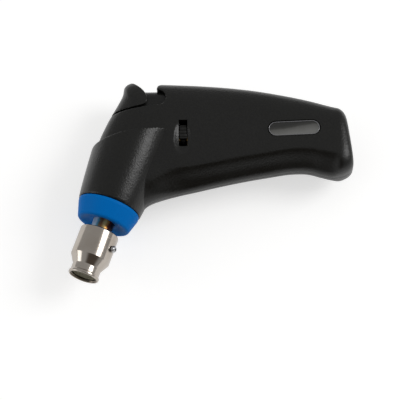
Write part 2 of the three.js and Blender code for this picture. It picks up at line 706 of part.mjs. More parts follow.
// Gas valve on the tank, its stem, the fork that draws the stem and the regulator round the valve
function valveSolid() {
  const front = ringFront - FIT;
  const seat = tankFront - FIT;
  const body = turnedX([
    [0, front], [VALVE_RADIUS, front], [VALVE_RADIUS, seat - VALVE_FLANGE_THICKNESS],
    [VALVE_FLANGE_RADIUS, seat - VALVE_FLANGE_THICKNESS], [VALVE_FLANGE_RADIUS, seat],
    [VALVE_THREAD_RADIUS, seat], [VALVE_THREAD_RADIUS, seat + VALVE_THREAD_LENGTH], [0, seat + VALVE_THREAD_LENGTH],
  ], valveHeight);
  const bore = STEM_RADIUS + RUN;
  const hole = turnedX([[0, front - 1], [bore, front - 1], [bore, front + 8], [0, front + 8]], valveHeight, 16);
  return body.subtract(hole);
}

function stemSolid() {
  const back = ringFront + 6;
  return turnedX([
    [0, collarFront - BARB_LENGTH], [BARB_RADIUS, collarFront - BARB_LENGTH], [BARB_RADIUS, collarFront],
    [STEM_COLLAR_RADIUS, collarFront], [STEM_COLLAR_RADIUS, collarBack],
    [STEM_RADIUS, collarBack], [STEM_RADIUS, back], [0, back],
  ], valveHeight, 16);
}

function forkSolid() {
  const low = forkPivotY - FORK_PIN_RADIUS - 0.6;
  const top = forkPivotY + FORK_BAR_HIGH;
  const back = forkFace + FORK_ARM_THICKNESS;
  let fork = box(forkFace, back, forkPivotY + FORK_BAR_LOW, top, -FORK_ARM_INNER - 1, FORK_ARM_INNER + 1);
  for (const side of [1, -1]) {
    const span = (near, reach) => (side > 0 ? [near, reach] : [-reach, -near]);
    const arm = join(
      box(forkFace, back, low, top, ...span(FORK_ARM_INNER, FORK_ARM_OUTER)),
      barZ(forkFace, valveHeight, FORK_NOSE_RADIUS, ...span(FORK_ARM_INNER, FORK_ARM_OUTER)),
      barZ(FORK_PIVOT_X, forkPivotY, FORK_PIN_RADIUS, ...span(FORK_ARM_INNER + 0.5, forkPinEnd)),
    );
    fork = join(fork, arm);
  }
  return fork;
}

function regulatorSolid() {
  const bore = VALVE_RADIUS + RUN;
  const ring = turnedX([
    [bore, ringFront], [REGULATOR_RING_RADIUS, ringFront], [REGULATOR_RING_RADIUS, ringBack],
    [bore, ringBack], [bore, ringFront],
  ], valveHeight, 20);
  const top = BODY_HALF_WIDTH - KNOB_RECESS;
  const armHalf = 1.6;
  const arm = box(
    ringFront + 0.4, ringBack - 0.4,
    valveHeight - armHalf, valveHeight + armHalf,
    REGULATOR_RING_RADIUS - 1.2, top - 2,
  );
  let knob = box(
    REGULATOR_X - knobHalfWidth, REGULATOR_X + knobHalfWidth,
    valveHeight - KNOB_LENGTH / 2, valveHeight + KNOB_LENGTH / 2,
    top - 2.6, top,
  );
  for (const offset of [-2.2, 0, 2.2]) {
    const groove = box(
      REGULATOR_X - 4, REGULATOR_X + 4,
      valveHeight + offset - 0.45, valveHeight + offset + 0.45,
      top - 0.6, top + 1,
    );
    knob = knob.subtract(groove);
  }
  return join(ring, arm, knob);
}

function hoseSolid() {
  const start = collarFront - 1.8;
  return roundRod([
    at(start, valveHeight), at(start - 4.5, valveHeight),
    at(start - 9.6, valveHeight - 0.3), at(start - 14.2, valveHeight - 1.3),
    barrelPoint(-jetBack - 4.4), barrelPoint(-jetBack - 2), barrelPoint(-jetBack - FIT),
  ], HOSE_RADIUS, HOSE_BORE, 14, 3);
}

// Fuel tank between the housing walls, its windows and the filler
function tankSolid() {
  const slice = (inset, front, back) => innerForm(inset, 6.5, bodyEnd, 8)
    .intersect(box(front, back, -far, far * 2, -far, far));
  const hollow = slice(tankInset + TANK_WALL, tankFront + TANK_WALL, tankBack - TANK_WALL);
  const port = (radius, x, y) => turnedX([[0, x - 4], [radius, x - 4], [radius, x + 4], [0, x + 4]], y);
  return slice(tankInset, tankFront, tankBack)
    .subtract(hollow)
    .subtract(port(VALVE_THREAD_RADIUS + FIT, tankFront, valveHeight))
    .subtract(port(FILLER_RADIUS + FIT, tankBack, FILLER_HEIGHT));
}

function windowSolid(side) {
  const seat = BODY_HALF_WIDTH - WALL;
  const span = 2 * (WINDOW_FLANGE - FIT);
  const flange = oblong(WINDOW_LENGTH + span, WINDOW_HEIGHT + span, side, seat, windowSeat - FIT / 2);
  const gap = 2 * FIT;
  const lens = oblong(WINDOW_LENGTH - gap, WINDOW_HEIGHT - gap, side, seat, BODY_HALF_WIDTH - WINDOW_RECESS);
  return join(flange, lens);
}

function fillerSolid() {
  const flangeFront = tankBack + FILLER_SEAL_THICKNESS + 2 * FIT;
  const body = turnedX([
    [0, tankBack - 4.5], [FILLER_RADIUS, tankBack - 4.5], [FILLER_RADIUS, flangeFront],
    [fillerRim, flangeFront], [fillerRim, flangeFront + 1.4], [FILLER_RADIUS, flangeFront + 1.4],
    [FILLER_RADIUS, fillerEnd - 0.5], [FILLER_RADIUS - 0.5, fillerEnd], [0, fillerEnd],
  ], FILLER_HEIGHT);
  const bore = FILLER_STEM_RADIUS + RUN;
  const start = fillerEnd - FILLER_STEM_LENGTH - FILLER_TRAVEL - RUN;
  const hole = turnedX([[0, start], [bore, start], [bore, fillerEnd + 1], [0, fillerEnd + 1]], FILLER_HEIGHT, 16);
  return body.subtract(hole);
}

function fillerStemSolid() {
  const back = fillerEnd + 0.7;
  return turnedX([
    [0, back - FILLER_STEM_LENGTH], [FILLER_STEM_RADIUS, back - FILLER_STEM_LENGTH],
    [FILLER_STEM_RADIUS, back - 0.4], [FILLER_STEM_RADIUS - 0.4, back], [0, back],
  ], FILLER_HEIGHT, 16);
}

function fillerSealSolid() {
  const front = tankBack + FIT;
  const back = front + FILLER_SEAL_THICKNESS;
  const bore = FILLER_RADIUS + FIT;
  return turnedX([
    [bore, front], [fillerRim, front], [fillerRim, back], [bore, back], [bore, front],
  ], FILLER_HEIGHT);
}

// Points of a quarter turn or any other arc, for turned profiles
function arc(radius0, station0, size, from, to, count) {
  return Array.from({ length: count + 1 }, (_, i) => {
    const angle = THREE.MathUtils.degToRad(from + ((to - from) * i) / count);
    return [radius0 + size * Math.cos(angle), station0 + size * Math.sin(angle)];
  });
}

// Nose collar, burner tube and what they hold
function collarSolid() {
  const inner = spigotRadius - SPIGOT_WALL;
  const wall = COLLAR_LENGTH - COLLAR_FRONT_WALL;
  const front = COLLAR_FRONT_RADIUS - COLLAR_EDGE;
  return turnedBarrel([
    [inner, -SPIGOT_LENGTH], [spigotRadius, -SPIGOT_LENGTH], [spigotRadius, FIT],
    [COLLAR_REAR_RADIUS, FIT], [COLLAR_REAR_RADIUS, FIT + 0.8],
    ...arc(front, COLLAR_LENGTH - COLLAR_EDGE, COLLAR_EDGE, 15, 90, 4),
    [tubeHole + 1.5, COLLAR_LENGTH - COLLAR_DISH], [tubeHole, COLLAR_LENGTH - COLLAR_DISH],
    [tubeHole, wall], [inner, wall], [inner, -SPIGOT_LENGTH],
  ], 28);
}

function tubeSolid() {
  const bore = TUBE_RADIUS - TUBE_WALL;
  return turnedBarrel([
    [bore, -TUBE_BACK], [TUBE_RADIUS, -TUBE_BACK], [TUBE_RADIUS, TUBE_FRONT],
    [bore, TUBE_FRONT], [bore, -TUBE_BACK],
  ], 28);
}

const cupMouth = CUP_BACK + CUP_LENGTH;
function cupSolid() {
  const shoulder = CUP_RADIUS - CUP_SHOULDER;
  const lipStation = cupMouth - LIP_RADIUS;
  const neckInner = CUP_NECK_RADIUS - CUP_WALL;
  const cupInner = CUP_RADIUS - CUP_WALL;
  const lipMiddle = CUP_NECK_RADIUS - CUP_WALL / 2;
  const body = turnedBarrel([
    [tubeHole, CUP_BACK],
    ...arc(shoulder, CUP_BACK + CUP_SHOULDER, CUP_SHOULDER, -90, 0, 2),
    [CUP_RADIUS, CUP_CYLINDER_END], [CUP_NECK_RADIUS, CUP_NECK_START],
    ...arc(lipMiddle, lipStation, LIP_RADIUS, -60, 210, 6),
    [neckInner, lipStation - 1.4], [neckInner, CUP_NECK_START + CUP_WALL * 0.4],
    [cupInner, CUP_CYLINDER_END + CUP_WALL * 0.4],
    ...arc(shoulder, CUP_BACK + CUP_SHOULDER, CUP_SHOULDER - CUP_WALL, 0, -90, 1),
    [tubeHole, CUP_BACK + CUP_WALL], [tubeHole, CUP_BACK],
  ], 28);
  const reach = CUP_RADIUS + 4;
  const bore = NOZZLE_SCREW_RADIUS + FIT;
  const hole = [[0, TUBE_RADIUS + 1], [bore, TUBE_RADIUS + 1], [bore, reach], [0, reach]];
  return body.subtract(radialSolid(hole, NOZZLE_SCREW_STATION, NOZZLE_SCREW_TURN, 10));
}

function nozzleScrewSolid() {
  const seat = CUP_RADIUS + FIT;
  const top = seat + NOZZLE_SCREW_HEAD_HEIGHT;
  const turned = radialSolid([
    [0, tubeHole], [NOZZLE_SCREW_RADIUS, tubeHole], [NOZZLE_SCREW_RADIUS, seat],
    [NOZZLE_SCREW_HEAD, seat], [NOZZLE_SCREW_HEAD, top - 0.5], [NOZZLE_SCREW_HEAD - 0.5, top], [0, top],
  ], NOZZLE_SCREW_STATION, NOZZLE_SCREW_TURN, 14);
  const slotWidth = 0.7;
  const span = 2 * (NOZZLE_SCREW_HEAD - 0.4);
  const slots = [[slotWidth, span], [span, slotWidth]].map(([across, along]) => {
    const slot = new THREE.BoxGeometry(across, 2, along).translate(0, top + 0.1, 0);
    return solidOf(standOut(slot, NOZZLE_SCREW_STATION, NOZZLE_SCREW_TURN));
  });
  return turned.subtract(join(...slots));
}

const screenFront = cupMouth - SCREEN_RECESS;
function screenSolid() {
  const radius = CUP_NECK_RADIUS - CUP_WALL - FIT;
  const back = screenFront - SCREEN_THICKNESS;
  const rows = Math.floor(radius / SCREEN_PITCH);
  const holes = [];
  for (let i = -rows; i <= rows; i += 1) {
    for (let j = -rows; j <= rows; j += 1) {
      const spot = flat(i * SCREEN_PITCH, j * SCREEN_PITCH);
      if (spot.length() < radius - SCREEN_HOLE - 0.6) {
        const geometry = new THREE.BoxGeometry(2 * SCREEN_HOLE, SCREEN_THICKNESS + 2, 2 * SCREEN_HOLE);
        geometry.translate(spot.x, -(back + screenFront) / 2, spot.y);
        holes.push(solidOf(geometry.rotateZ(-lean)));
      }
    }
  }
  const disc = turnedBarrel([[0, back], [radius, back], [radius, screenFront], [0, screenFront]], 24);
  return disc.subtract(join(...holes));
}

function catalystSolid() {
  const radius = CUP_NECK_RADIUS - CUP_WALL - FIT;
  const front = screenFront - SCREEN_THICKNESS - FIT;
  const back = front - CATALYST_LENGTH;
  return turnedBarrel([[0, back], [radius, back], [radius, front], [0, front]], 28);
}

function bulkheadSolid() {
  const front = -SPIGOT_LENGTH - FIT;
  const back = front - BULKHEAD_THICKNESS;
  return turnedBarrel([
    [tubeHole, back], [bulkheadRadius, back], [bulkheadRadius, front], [tubeHole, front], [tubeHole, back],
  ], 24);
}

const mixerFront = -TUBE_BACK - FIT + MIXER_SOCKET;
const mixerBack = mixerFront - MIXER_LENGTH;
const jetBack = -mixerBack + FIT + JET_FLANGE_THICKNESS;
function mixerSolid() {
  const socket = mixerFront - MIXER_SOCKET;
  const body = turnedBarrel([
    [MIXER_BORE, mixerBack], [MIXER_RADIUS, mixerBack], [MIXER_RADIUS, mixerFront],
    [tubeHole, mixerFront], [tubeHole, socket], [MIXER_BORE, socket], [MIXER_BORE, mixerBack],
  ], 16);
  const reach = MIXER_RADIUS + 2;
  const airHole = [[0, -reach], [AIR_HOLE_RADIUS, -reach], [AIR_HOLE_RADIUS, reach], [0, reach]];
  const airStation = -ELECTRODE_STATION - 3.4;
  const bore = ELECTRODE_RADIUS + FIT;
  const pinHole = [[0, 0.5], [bore, 0.5], [bore, reach], [0, reach]];
  return body
    .subtract(radialSolid(airHole, airStation, 90, 8))
    .subtract(radialSolid(pinHole, -ELECTRODE_STATION, 180, 8));
}

function jetSolid() {
  const plug = MIXER_BORE - FIT;
  const seat = mixerBack - FIT;
  return turnedBarrel([
    [0, -jetBack - 3], [BARB_RADIUS, -jetBack - 3], [BARB_RADIUS, -jetBack],
    [JET_FLANGE_RADIUS, -jetBack], [JET_FLANGE_RADIUS, seat],
    [plug, seat], [plug, mixerBack + 3], [0, mixerBack + 3],
  ], 16);
}

function housingScrewSolid([x, y]) {
  const turned = join(
    barZ(x, y, SCREW_RADIUS, -screwSeat - 0.5, SCREW_REACH, 8),
    barZ(x, y, SCREW_HEAD_RADIUS, -screwSeat - SCREW_HEAD_HEIGHT, -screwSeat - FIT, 12),
  );
  const face = -screwSeat - SCREW_HEAD_HEIGHT;
  const cross = join(
    box(x - 1.6, x + 1.6, y - 0.35, y + 0.35, face - 1, face + 1),
    box(x - 0.35, x + 0.35, y - 1.6, y + 1.6, face - 1, face + 1),
  );
  return turned.subtract(cross);
}

// Slot for the regulator knob, as long as its swing needs
const knobHalfWidth = REGULATOR_THICKNESS / 2 + 0.2;
const swingReach = (degrees) => BODY_HALF_WIDTH * Math.sin(THREE.MathUtils.degToRad(degrees));
const slotTop = valveHeight + KNOB_LENGTH / 2 + swingReach(REGULATOR_UP) + RUN;
const slotBottom = valveHeight - KNOB_LENGTH / 2 - swingReach(REGULATOR_DOWN) - RUN;

// Materials
const paint = (color, roughness, metalness) => new THREE.MeshStandardMaterial({ color, roughness, metalness });
const blackPlastic = () => paint(0x222325, 0.5, 0);
const bluePlastic = () => paint(0x1166b8, 0.4, 0);
const smokedPlastic = () => paint(0x5d6064, 0.2, 0);
const tankPlastic = () => paint(0x8d9298, 0.25, 0);
const whiteNylon = () => paint(0xd8d6cf, 0.5, 0);
const brass = () => paint(0xb8933f, 0.35, 1);
const steel = () => paint(0x9a9da1, 0.35, 1);
const chrome = () => paint(0xd4d7db, 0.12, 1);
const tintedSteel = () => paint(0x7a6a52, 0.3, 1);
const darkSteel = () => paint(0x3a3936, 0.6, 1);
const ceramic = () => paint(0xc9bfae, 0.8, 0);
const rubber = () => paint(0x1a1a1a, 0.8, 0);
const leadSheath = () => paint(0x8c1f1c, 0.5, 0);

const pieces = [
  ['left_housing', leftHousing(), blackPlastic()],
  ['right_housing', rightHousing(), blackPlastic()],
  ['trigger', triggerSolid(), blackPlastic()],
  ['piezo_igniter', piezoSolid(), whiteNylon()],
  ['piezo_plunger', plungerSolid(), blackPlastic()],
  ['ignition_lead', leadSolid(), leadSheath()],
  ['spark_electrode', electrodeSolid(), steel()],
  ['tank_valve', valveSolid(), brass()],
  ['valve_stem', stemSolid(), brass()],
  ['valve_fork', forkSolid(), steel()],
  ['regulator_lever', regulatorSolid(), blackPlastic()],
  ['gas_hose', hoseSolid(), rubber()],
  ['fuel_tank', tankSolid(), tankPlastic()],
  ['fuel_window_left', windowSolid(1), smokedPlastic()],
  ['fuel_window_right', windowSolid(-1), smokedPlastic()],
  ['filler_valve', fillerSolid(), brass()],
  ['filler_stem', fillerStemSolid(), whiteNylon()],
  ['filler_seal', fillerSealSolid(), rubber()],
  ['nose_collar', collarSolid(), bluePlastic()],
  ['burner_tube', tubeSolid(), tintedSteel()],
  ['burner_bulkhead', bulkheadSolid(), ceramic()],
  ['mixer_body', mixerSolid(), brass()],
  ['gas_jet', jetSolid(), brass()],
  ['nozzle_cup', cupSolid(), chrome()],
  ['nozzle_screw', nozzleScrewSolid(), steel()],
  ['outlet_screen', screenSolid(), darkSteel()],
  ['catalyst_core', catalystSolid(), ceramic()],
  ...screwPlaces.map((place, i) => [`housing_screw_${i + 1}`, housingScrewSolid(place), steel()]),
];

const tool = new THREE.Group();
tool.name = 'tool';
for (const [name, solid, material] of pieces) {
  const mesh = new THREE.Mesh(geometryOf(solid), material);
  mesh.name = name;
  tool.add(mesh);
}

// The finished frame has its origin under the middle of the lying tool
const extent = new THREE.Box3().setFromObject(tool);
const middle = extent.getCenter(at(0, 0));
tool.position.set(-middle.x, -middle.y, -extent.min.z);
const root = new THREE.Group();
root.name = 'hot_air_tool';
root.add(tool);
export default root;
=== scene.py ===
import math

import bmesh
import bpy
from mathutils import Matrix, Vector


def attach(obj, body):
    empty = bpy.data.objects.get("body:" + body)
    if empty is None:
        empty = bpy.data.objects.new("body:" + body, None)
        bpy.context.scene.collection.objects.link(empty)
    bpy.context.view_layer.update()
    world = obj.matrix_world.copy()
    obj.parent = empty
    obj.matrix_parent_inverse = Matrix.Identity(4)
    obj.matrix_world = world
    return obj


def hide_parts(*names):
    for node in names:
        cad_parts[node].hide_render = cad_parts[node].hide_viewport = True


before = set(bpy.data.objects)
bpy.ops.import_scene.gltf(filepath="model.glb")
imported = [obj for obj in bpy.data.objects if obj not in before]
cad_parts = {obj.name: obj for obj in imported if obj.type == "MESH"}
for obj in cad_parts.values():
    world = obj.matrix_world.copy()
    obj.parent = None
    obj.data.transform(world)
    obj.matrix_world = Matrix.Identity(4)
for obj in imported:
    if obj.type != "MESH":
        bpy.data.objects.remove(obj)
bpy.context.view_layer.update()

# Tool frame in millimetres: x from nozzle to butt, y from finger side to back, z to the left side
MM = 0.001
TOOL_ORIGIN = Vector((-56.9033, -15.6996, 21.4965))
LEAN = math.radians(19.1)
BARREL = Vector((-math.sin(LEAN), -math.cos(LEAN), 0))
BARREL_SIDE = Vector((-math.cos(LEAN), math.sin(LEAN), 0))
LEFT = Vector((0, 0, 1))

# Grip and head stations: back point, belly point, squareness and share of the finger cove
STATIONS = [
    ((-16.91, 5.86), (16.91, -5.86), 2.0, 0.0),
    ((-13.2, 15.7), (18.0, -2.8), 2.05, 0.0),
    ((-10.0, 26.0), (20.4, 0.8), 2.15, 0.0),
    ((-6.5, 38.0), (24.0, 3.2), 2.3, 0.1),
    ((-1.2, 50.4), (29.0, 5.1), 2.6, 0.3),
    ((7.3, 67.0), (34.6, 6.6), 2.8, 0.6),
    ((8.5, 72.4), (38.0, 7.4), 2.9, 0.75),
    ((12.4, 74.8), (41.5, 8.2), 3.0, 0.9),
    ((28.0, 73.4), (49.0, 9.9), 3.2, 1.0),
    ((50.0, 72.1), (60.0, 12.5), 3.2, 1.0),
    ((67.14, 70.5), (74.19, 15.5), 3.2, 1.0),
    ((84.28, 68.0), (88.28, 18.0), 3.2, 1.0),
    ((101.33, 64.4), (101.33, 20.0), 3.2, 1.0),
    ((112.47, 61.6), (110.9, 19.9), 3.2, 1.0),
    ((120.47, 59.2), (118.64, 17.8), 3.2, 0.95),
    ((126.3, 57.4), (124.3, 16.6), 3.3, 0.75),
    ((128.13, 56.9), (128.13, 16.9), 3.4, 0.05),
    ((132.39, 55.7), (136.57, 18.4), 3.4, 0.0),
]
LAST = len(STATIONS) - 1
HALF_WIDTH = 14.0
WALL = 2.4
COVE_DEPTH = 0.4
COVE_START = [0.84] * 9 + [0.835, 0.825, 0.81, 0.78, 0.76, 0.74, 0.73, 0.73, 0.73]
COVE_END = 0.96
BUTT_EDGE = 4.4
BUTT_STEPS = 12
PARTING_GAP = 0.3

# Round barrel: (radius, distance behind the nose), and the slanting shoulder where it ends on the head
BARREL_FORM = [(17.9, 0.8), (18.6, 6), (19.3, 13), (20.0, 21), (20.7, 30), (21.3, 40), (24.0, 75)]
SHOULDER_START = -16.91
SHOULDER_HEIGHT = 33.6
SHOULDER_SLOPE = math.tan(math.radians(9.8))

# Reach of the cutting tools past the housing, along x and y and to either side
CLEAR_LOW, CLEAR_HIGH, CLEAR_SIDE = -80, 160, 60

# Grain of the melted mouldings
HOUSING_VOXEL = 0.5
HORN_VOXEL = 0.4

# Thumb notch, and the trigger that slides on a deck in it
PLAY = 0.4
TRIGGER_TRAVEL = 4
NOTCH_START = (18.1, 56.1)
NOTCH_SLOPE = math.tan(math.radians(8.5))
NOTCH_WALL = 2.6
HORN_GAP = 0.9
DECK = 54.9
DECK_SPAN = (10, 47)
SADDLE_SPAN = (18.8, 40)
SADDLE_HALF = 10.4
SADDLE_TOP = 68.0
SADDLE_CORNER = 5.6
LEG_SPAN = (36.1, 39.1)
LEG_HALF = 3
LEG_FOOT = 45.4

# Regulator, its slot and its finger dish
KNOB_PLACE = (41.6, 40.7)
KNOB_HALF = 4
KNOB_WIDTH = 4
SLOT_SIDES = (39.2, 44)
SLOT_SPAN = (31.97, 47.29)
DISH_PLACE = (41.3, 36.2)
DISH_SIZE = (4.9, 10.9)
DISH_DEPTH = 2.0

# Fuel windows, the way down across them along which their painted shade lightens, and the depths between which
# the pane turns to the painted highlight of the rim
WINDOW_PLACE = (103.3, 41.6)
WINDOW_SIZE = (28.8, 8.8)
WINDOW_TURN = math.radians(2)
WINDOW_DOWN = Vector((0.14, -0.99, 0))
RIM_HIGHLIGHT_DEPTHS = (0.45, 0.28)

# Nozzle: stations in front of the nose and radii from the barrel line
INNER_SHADE_RADIUS = 7.45
INNER_SHADE_FADE = 0.1
TINT_AND_SHADE_REACH = 6
SCREEN_STATION = 39.7
SCREEN_RADIUS = 7.4
SCREEN_TRIM = 7.1
SCREEN_PITCH = 1.5
WIRE_RADIUS = 0.14
CLAMP_STATION = 23
CLAMP_SEAT = 11.3
CLAMP_TURN = math.radians(22)

# Gas filler, and housing screws with their pockets in the right half
FILLER_HEIGHT = 37.0
FILLER_END = 132.9
FILLER_HOLE = 4.8
TANK_BACK = 123.93
SCREWS = [(26, 17), (3.4, 34.5), (50.09, 27), (52.59, 60), (128.03, 47.5), (129.43, 26.5)]
SCREW_SEAT = -7.9
POCKET_FLOOR = -7.8
POCKET_RADIUS = 2.9
CROSS_DEPTH = 0.9


# Places
def at(x, y, z=0.0):
    return (Vector((x, y, z)) + TOOL_ORIGIN) * MM


def ease(value, start, end):
    share = min(max((value - start) / (end - start), 0.0), 1.0)
    return share * share * (3 - 2 * share)


def notch_line(x):
    return NOTCH_START[1] + NOTCH_SLOPE * (x - NOTCH_START[0])


# Modelling steps
def deselect():
    if bpy.context.object and bpy.context.object.mode != "OBJECT":
        bpy.ops.object.mode_set(mode="OBJECT")
    bpy.ops.object.select_all(action="DESELECT")


def pick(piece):
    deselect()
    piece.select_set(True)
    bpy.context.view_layer.objects.active = piece


def edit_all(piece):
    pick(piece)
    bpy.ops.object.mode_set(mode="EDIT")
    bpy.ops.mesh.select_all(action="SELECT")


def close_edit(piece, weld=2e-6):
    bpy.ops.mesh.select_all(action="SELECT")
    bpy.ops.mesh.remove_doubles(threshold=weld)
    bpy.ops.mesh.delete_loose()
    bpy.ops.mesh.select_all(action="SELECT")
    bpy.ops.mesh.normals_make_consistent(inside=False)
    bpy.ops.object.mode_set(mode="OBJECT")
    return piece


def outline(name, points, fill="NOTHING"):
    deselect()
    bpy.ops.mesh.primitive_circle_add(vertices=len(points), fill_type=fill)
    piece = bpy.context.object
    piece.name = name
    piece.data.name = name
    for vertex, point in zip(piece.data.vertices, points):
        vertex.co = point
    return piece


# A closed skin: the first ring is extruded from station to station and each new ring moved to its place
def skin(name, rings):
    piece = outline(name, rings[0])
    edit_all(piece)
    mesh = bmesh.from_edit_mesh(piece.data)
    order = mesh.verts.layers.int.new("order")
    for index, vertex in enumerate(mesh.verts):
        vertex[order] = index
    bpy.ops.mesh.edge_face_add()
    bpy.ops.mesh.select_all(action="SELECT")
    for points in rings[1:]:
        bpy.ops.mesh.extrude_region()
        mesh = bmesh.from_edit_mesh(piece.data)
        order = mesh.verts.layers.int["order"]
        for vertex in mesh.verts:
            if vertex.select:
                vertex.co = points[vertex[order]]
    bmesh.update_edit_mesh(piece.data)
    return close_edit(piece)


def slab(name, points, lift):
    piece = outline(name, points, "NGON")
    edit_all(piece)
    bpy.ops.mesh.extrude_region_move(TRANSFORM_OT_translate={"value": lift})
    return close_edit(piece)


def plate(name, points, low, high):
    return slab(name, [at(x, y, low) for x, y in points], (0, 0, (high - low) * MM))


def block(name, x, y, z):
    corners = [(x[0], y[0]), (x[1], y[0]), (x[1], y[1]), (x[0], y[1])]
    return plate(name, corners, *z)


# A closed profile of (radius, station) points spun about an axis
def turned(name, profile, centre, axis, across, steps=96):
    piece = outline(name, [centre + (axis * station + across * radius) * MM for radius, station in profile])
    edit_all(piece)
    bpy.ops.mesh.spin(steps=steps, angle=math.tau, center=centre, axis=axis)
    return close_edit(piece)


def turned_on_barrel(name, profile, steps=96):
    return turned(name, profile, at(0, 0), BARREL, BARREL_SIDE, steps)


def turned_on_filler(name, profile, steps=48):
    return turned(name, profile, at(0, FILLER_HEIGHT), Vector((1, 0, 0)), Vector((0, 1, 0)), steps)


def arc(centre, size, start, end, count):
    turns = [math.radians(start + (end - start) * i / count) for i in range(count + 1)]
    return [(centre[0] + size * math.cos(turn), centre[1] + size * math.sin(turn)) for turn in turns]


def bezier(p0, p1, p2, p3, count):
    points = []
    for i in range(1, count + 1):
        t = i / count
        spot = Vector(p0) * (1 - t) ** 3 + Vector(p1) * 3 * t * (1 - t) ** 2
        spot += Vector(p2) * 3 * t * t * (1 - t) + Vector(p3) * t ** 3
        points.append(tuple(spot))
    return points


# Rounds the corners of a profile: a corner is (x, y) or (x, y, radius)
def eased(corners, count=5):
    points = []
    for i, corner in enumerate(corners):
        spot = Vector(corner[:2])
        if len(corner) == 2:
            points.append(tuple(spot))
            continue
        before = (Vector(corners[i - 1][:2]) - spot).normalized()
        after = (Vector(corners[(i + 1) % len(corners)][:2]) - spot).normalized()
        half = before.angle(after) / 2
        middle = spot + (before + after).normalized() * corner[2] / math.sin(half)
        start = spot + before * corner[2] / math.tan(half) - middle
        turn = start.angle_signed(spot + after * corner[2] / math.tan(half) - middle)
        for step in range(count + 1):
            points.append(tuple(middle + Matrix.Rotation(-turn * step / count, 2) @ start))
    return points


def shape(piece, tool, how="DIFFERENCE"):
    pick(piece)
    step = piece.modifiers.new("shape", "BOOLEAN")
    step.operation = how
    step.solver = "EXACT"
    step.object = tool
    bpy.ops.object.modifier_apply(modifier=step.name)
    bpy.data.objects.remove(tool)
    return piece


# Melts the parts of a moulding into one skin and rounds its edges as a mould does
def melt(piece, grain, rounds):
    pick(piece)
    step = piece.modifiers.new("melt", "REMESH")
    step.mode = "VOXEL"
    step.voxel_size = grain * MM
    bpy.ops.object.modifier_apply(modifier=step.name)
    return blend(piece, rounds)


# Irons a skin, all over or only where a weight of points in the tool frame says so
def blend(piece, rounds, weight=None):
    pick(piece)
    step = piece.modifiers.new("iron", "SMOOTH")
    step.factor = 0.5
    step.iterations = rounds
    if weight:
        group = piece.vertex_groups.new(name="iron")
        step.vertex_group = group.name
        for vertex in piece.data.vertices:
            share = weight(vertex.co / MM - TOOL_ORIGIN)
            if share > 0:
                group.add([vertex.index], share, "REPLACE")
    bpy.ops.object.modifier_apply(modifier=step.name)
    piece.vertex_groups.clear()
    return piece


def soften(piece, width, angle, segments):
    pick(piece)
    step = piece.modifiers.new("soften", "BEVEL")
    step.width = width * MM
    step.segments = segments
    step.limit_method = "ANGLE"
    step.angle_limit = math.radians(angle)
    step.use_clamp_overlap = True
    bpy.ops.object.modifier_apply(modifier=step.name)
    return piece


def copy_of(piece, name, move=(0, 0, 0)):
    twin = piece.copy()
    twin.data = piece.data.copy()
    twin.name = name
    twin.data.name = name
    bpy.context.scene.collection.objects.link(twin)
    twin.data.transform(Matrix.Translation(Vector(move) * MM))
    return twin


def together(pieces):
    deselect()
    for piece in pieces:
        piece.select_set(True)
    bpy.context.view_layer.objects.active = pieces[0]
    bpy.ops.object.join()
    return pieces[0]


# Gives a piece its finish and its body and hides the nodes that it stands for; the slot that it is given is not
# used
def fit(piece, body, slot, finish, *nodes, angle=32):
    piece.data.materials.clear()
    piece.data.materials.append(finish)
    for face in piece.data.polygons:
        face.material_index = 0
    pick(piece)
    bpy.ops.object.shade_smooth_by_angle(angle=math.radians(angle))
    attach(piece, body)
    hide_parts(*nodes)


# Materials: noise scales are per metre, so that 45 means blotches of about 22 mm and 420 of about 2.4 mm
GLOSS_DRIFT = 45.0
METAL_STAIN = 90.0
PAINTED_SHADE_WAVER = 130.0
OXIDE_AND_SHADE_BLOTCH = 420.0
LINE_STRETCH = 60.0
PLASTIC_RELIEF = 0.12 * MM
METAL_RELIEF = 0.02 * MM


def linear(code):
    values = [int(code[i:i + 2], 16) / 255 for i in (1, 3, 5)]
    return [v / 12.92 if v <= 0.04045 else ((v + 0.055) / 1.055) ** 2.4 for v in values] + [1]


def add(tree, kind, settings=None, links=None, **values):
    node = tree.nodes.new(kind)
    for name, value in values.items():
        setattr(node, name, value)
    for socket, value in (settings or {}).items():
        node.inputs[socket].default_value = value
    for socket, source in (links or {}).items():
        tree.links.new(source, node.inputs[socket])
    return node


def noise(tree, place, scale, detail):
    return add(tree, "ShaderNodeTexNoise", {"Scale": scale, "Detail": detail}, {"Vector": place}).outputs["Fac"]


# Colours or grey values that follow a share from 0 to 1
def banded(tree, share, stops):
    node = add(tree, "ShaderNodeValToRGB", None, {"Fac": share})
    band = node.color_ramp
    while len(band.elements) < len(stops):
        band.elements.new(0.5)
    for element, (place, code) in zip(band.elements, stops):
        element.position = place
        element.color = linear(code) if isinstance(code, str) else [code, code, code, 1]
    return node.outputs["Color"]


# How far a point lies along a direction from a place, as a share of a span in millimetres
def share_along(tree, place, start, direction, span):
    away = add(tree, "ShaderNodeVectorMath", {1: start}, {0: place}, operation="SUBTRACT").outputs["Vector"]
    reach = add(tree, "ShaderNodeVectorMath", {1: direction}, {0: away}, operation="DOT_PRODUCT")
    limits = {"From Min": 0.0, "From Max": span * MM}
    return add(tree, "ShaderNodeMapRange", limits, {"Value": reach.outputs["Value"]}).outputs["Result"]


# A share pushed on by a noise
def moved_by(tree, share, cloud, amount):
    wander = add(tree, "ShaderNodeMath", {1: amount}, {0: cloud}, operation="MULTIPLY").outputs["Value"]
    return add(tree, "ShaderNodeMath", {}, {0: share, 1: wander}, operation="ADD").outputs["Value"]


def start_finish(name, settings):
    finish = bpy.data.materials.new(name)
    finish.use_nodes = True
    tree = finish.node_tree
    surface = tree.nodes["Principled BSDF"]
    for socket, value in settings.items():
        surface.inputs[socket].default_value = value
    place = add(tree, "ShaderNodeTexCoord").outputs["Object"]
    return finish, tree, surface, place


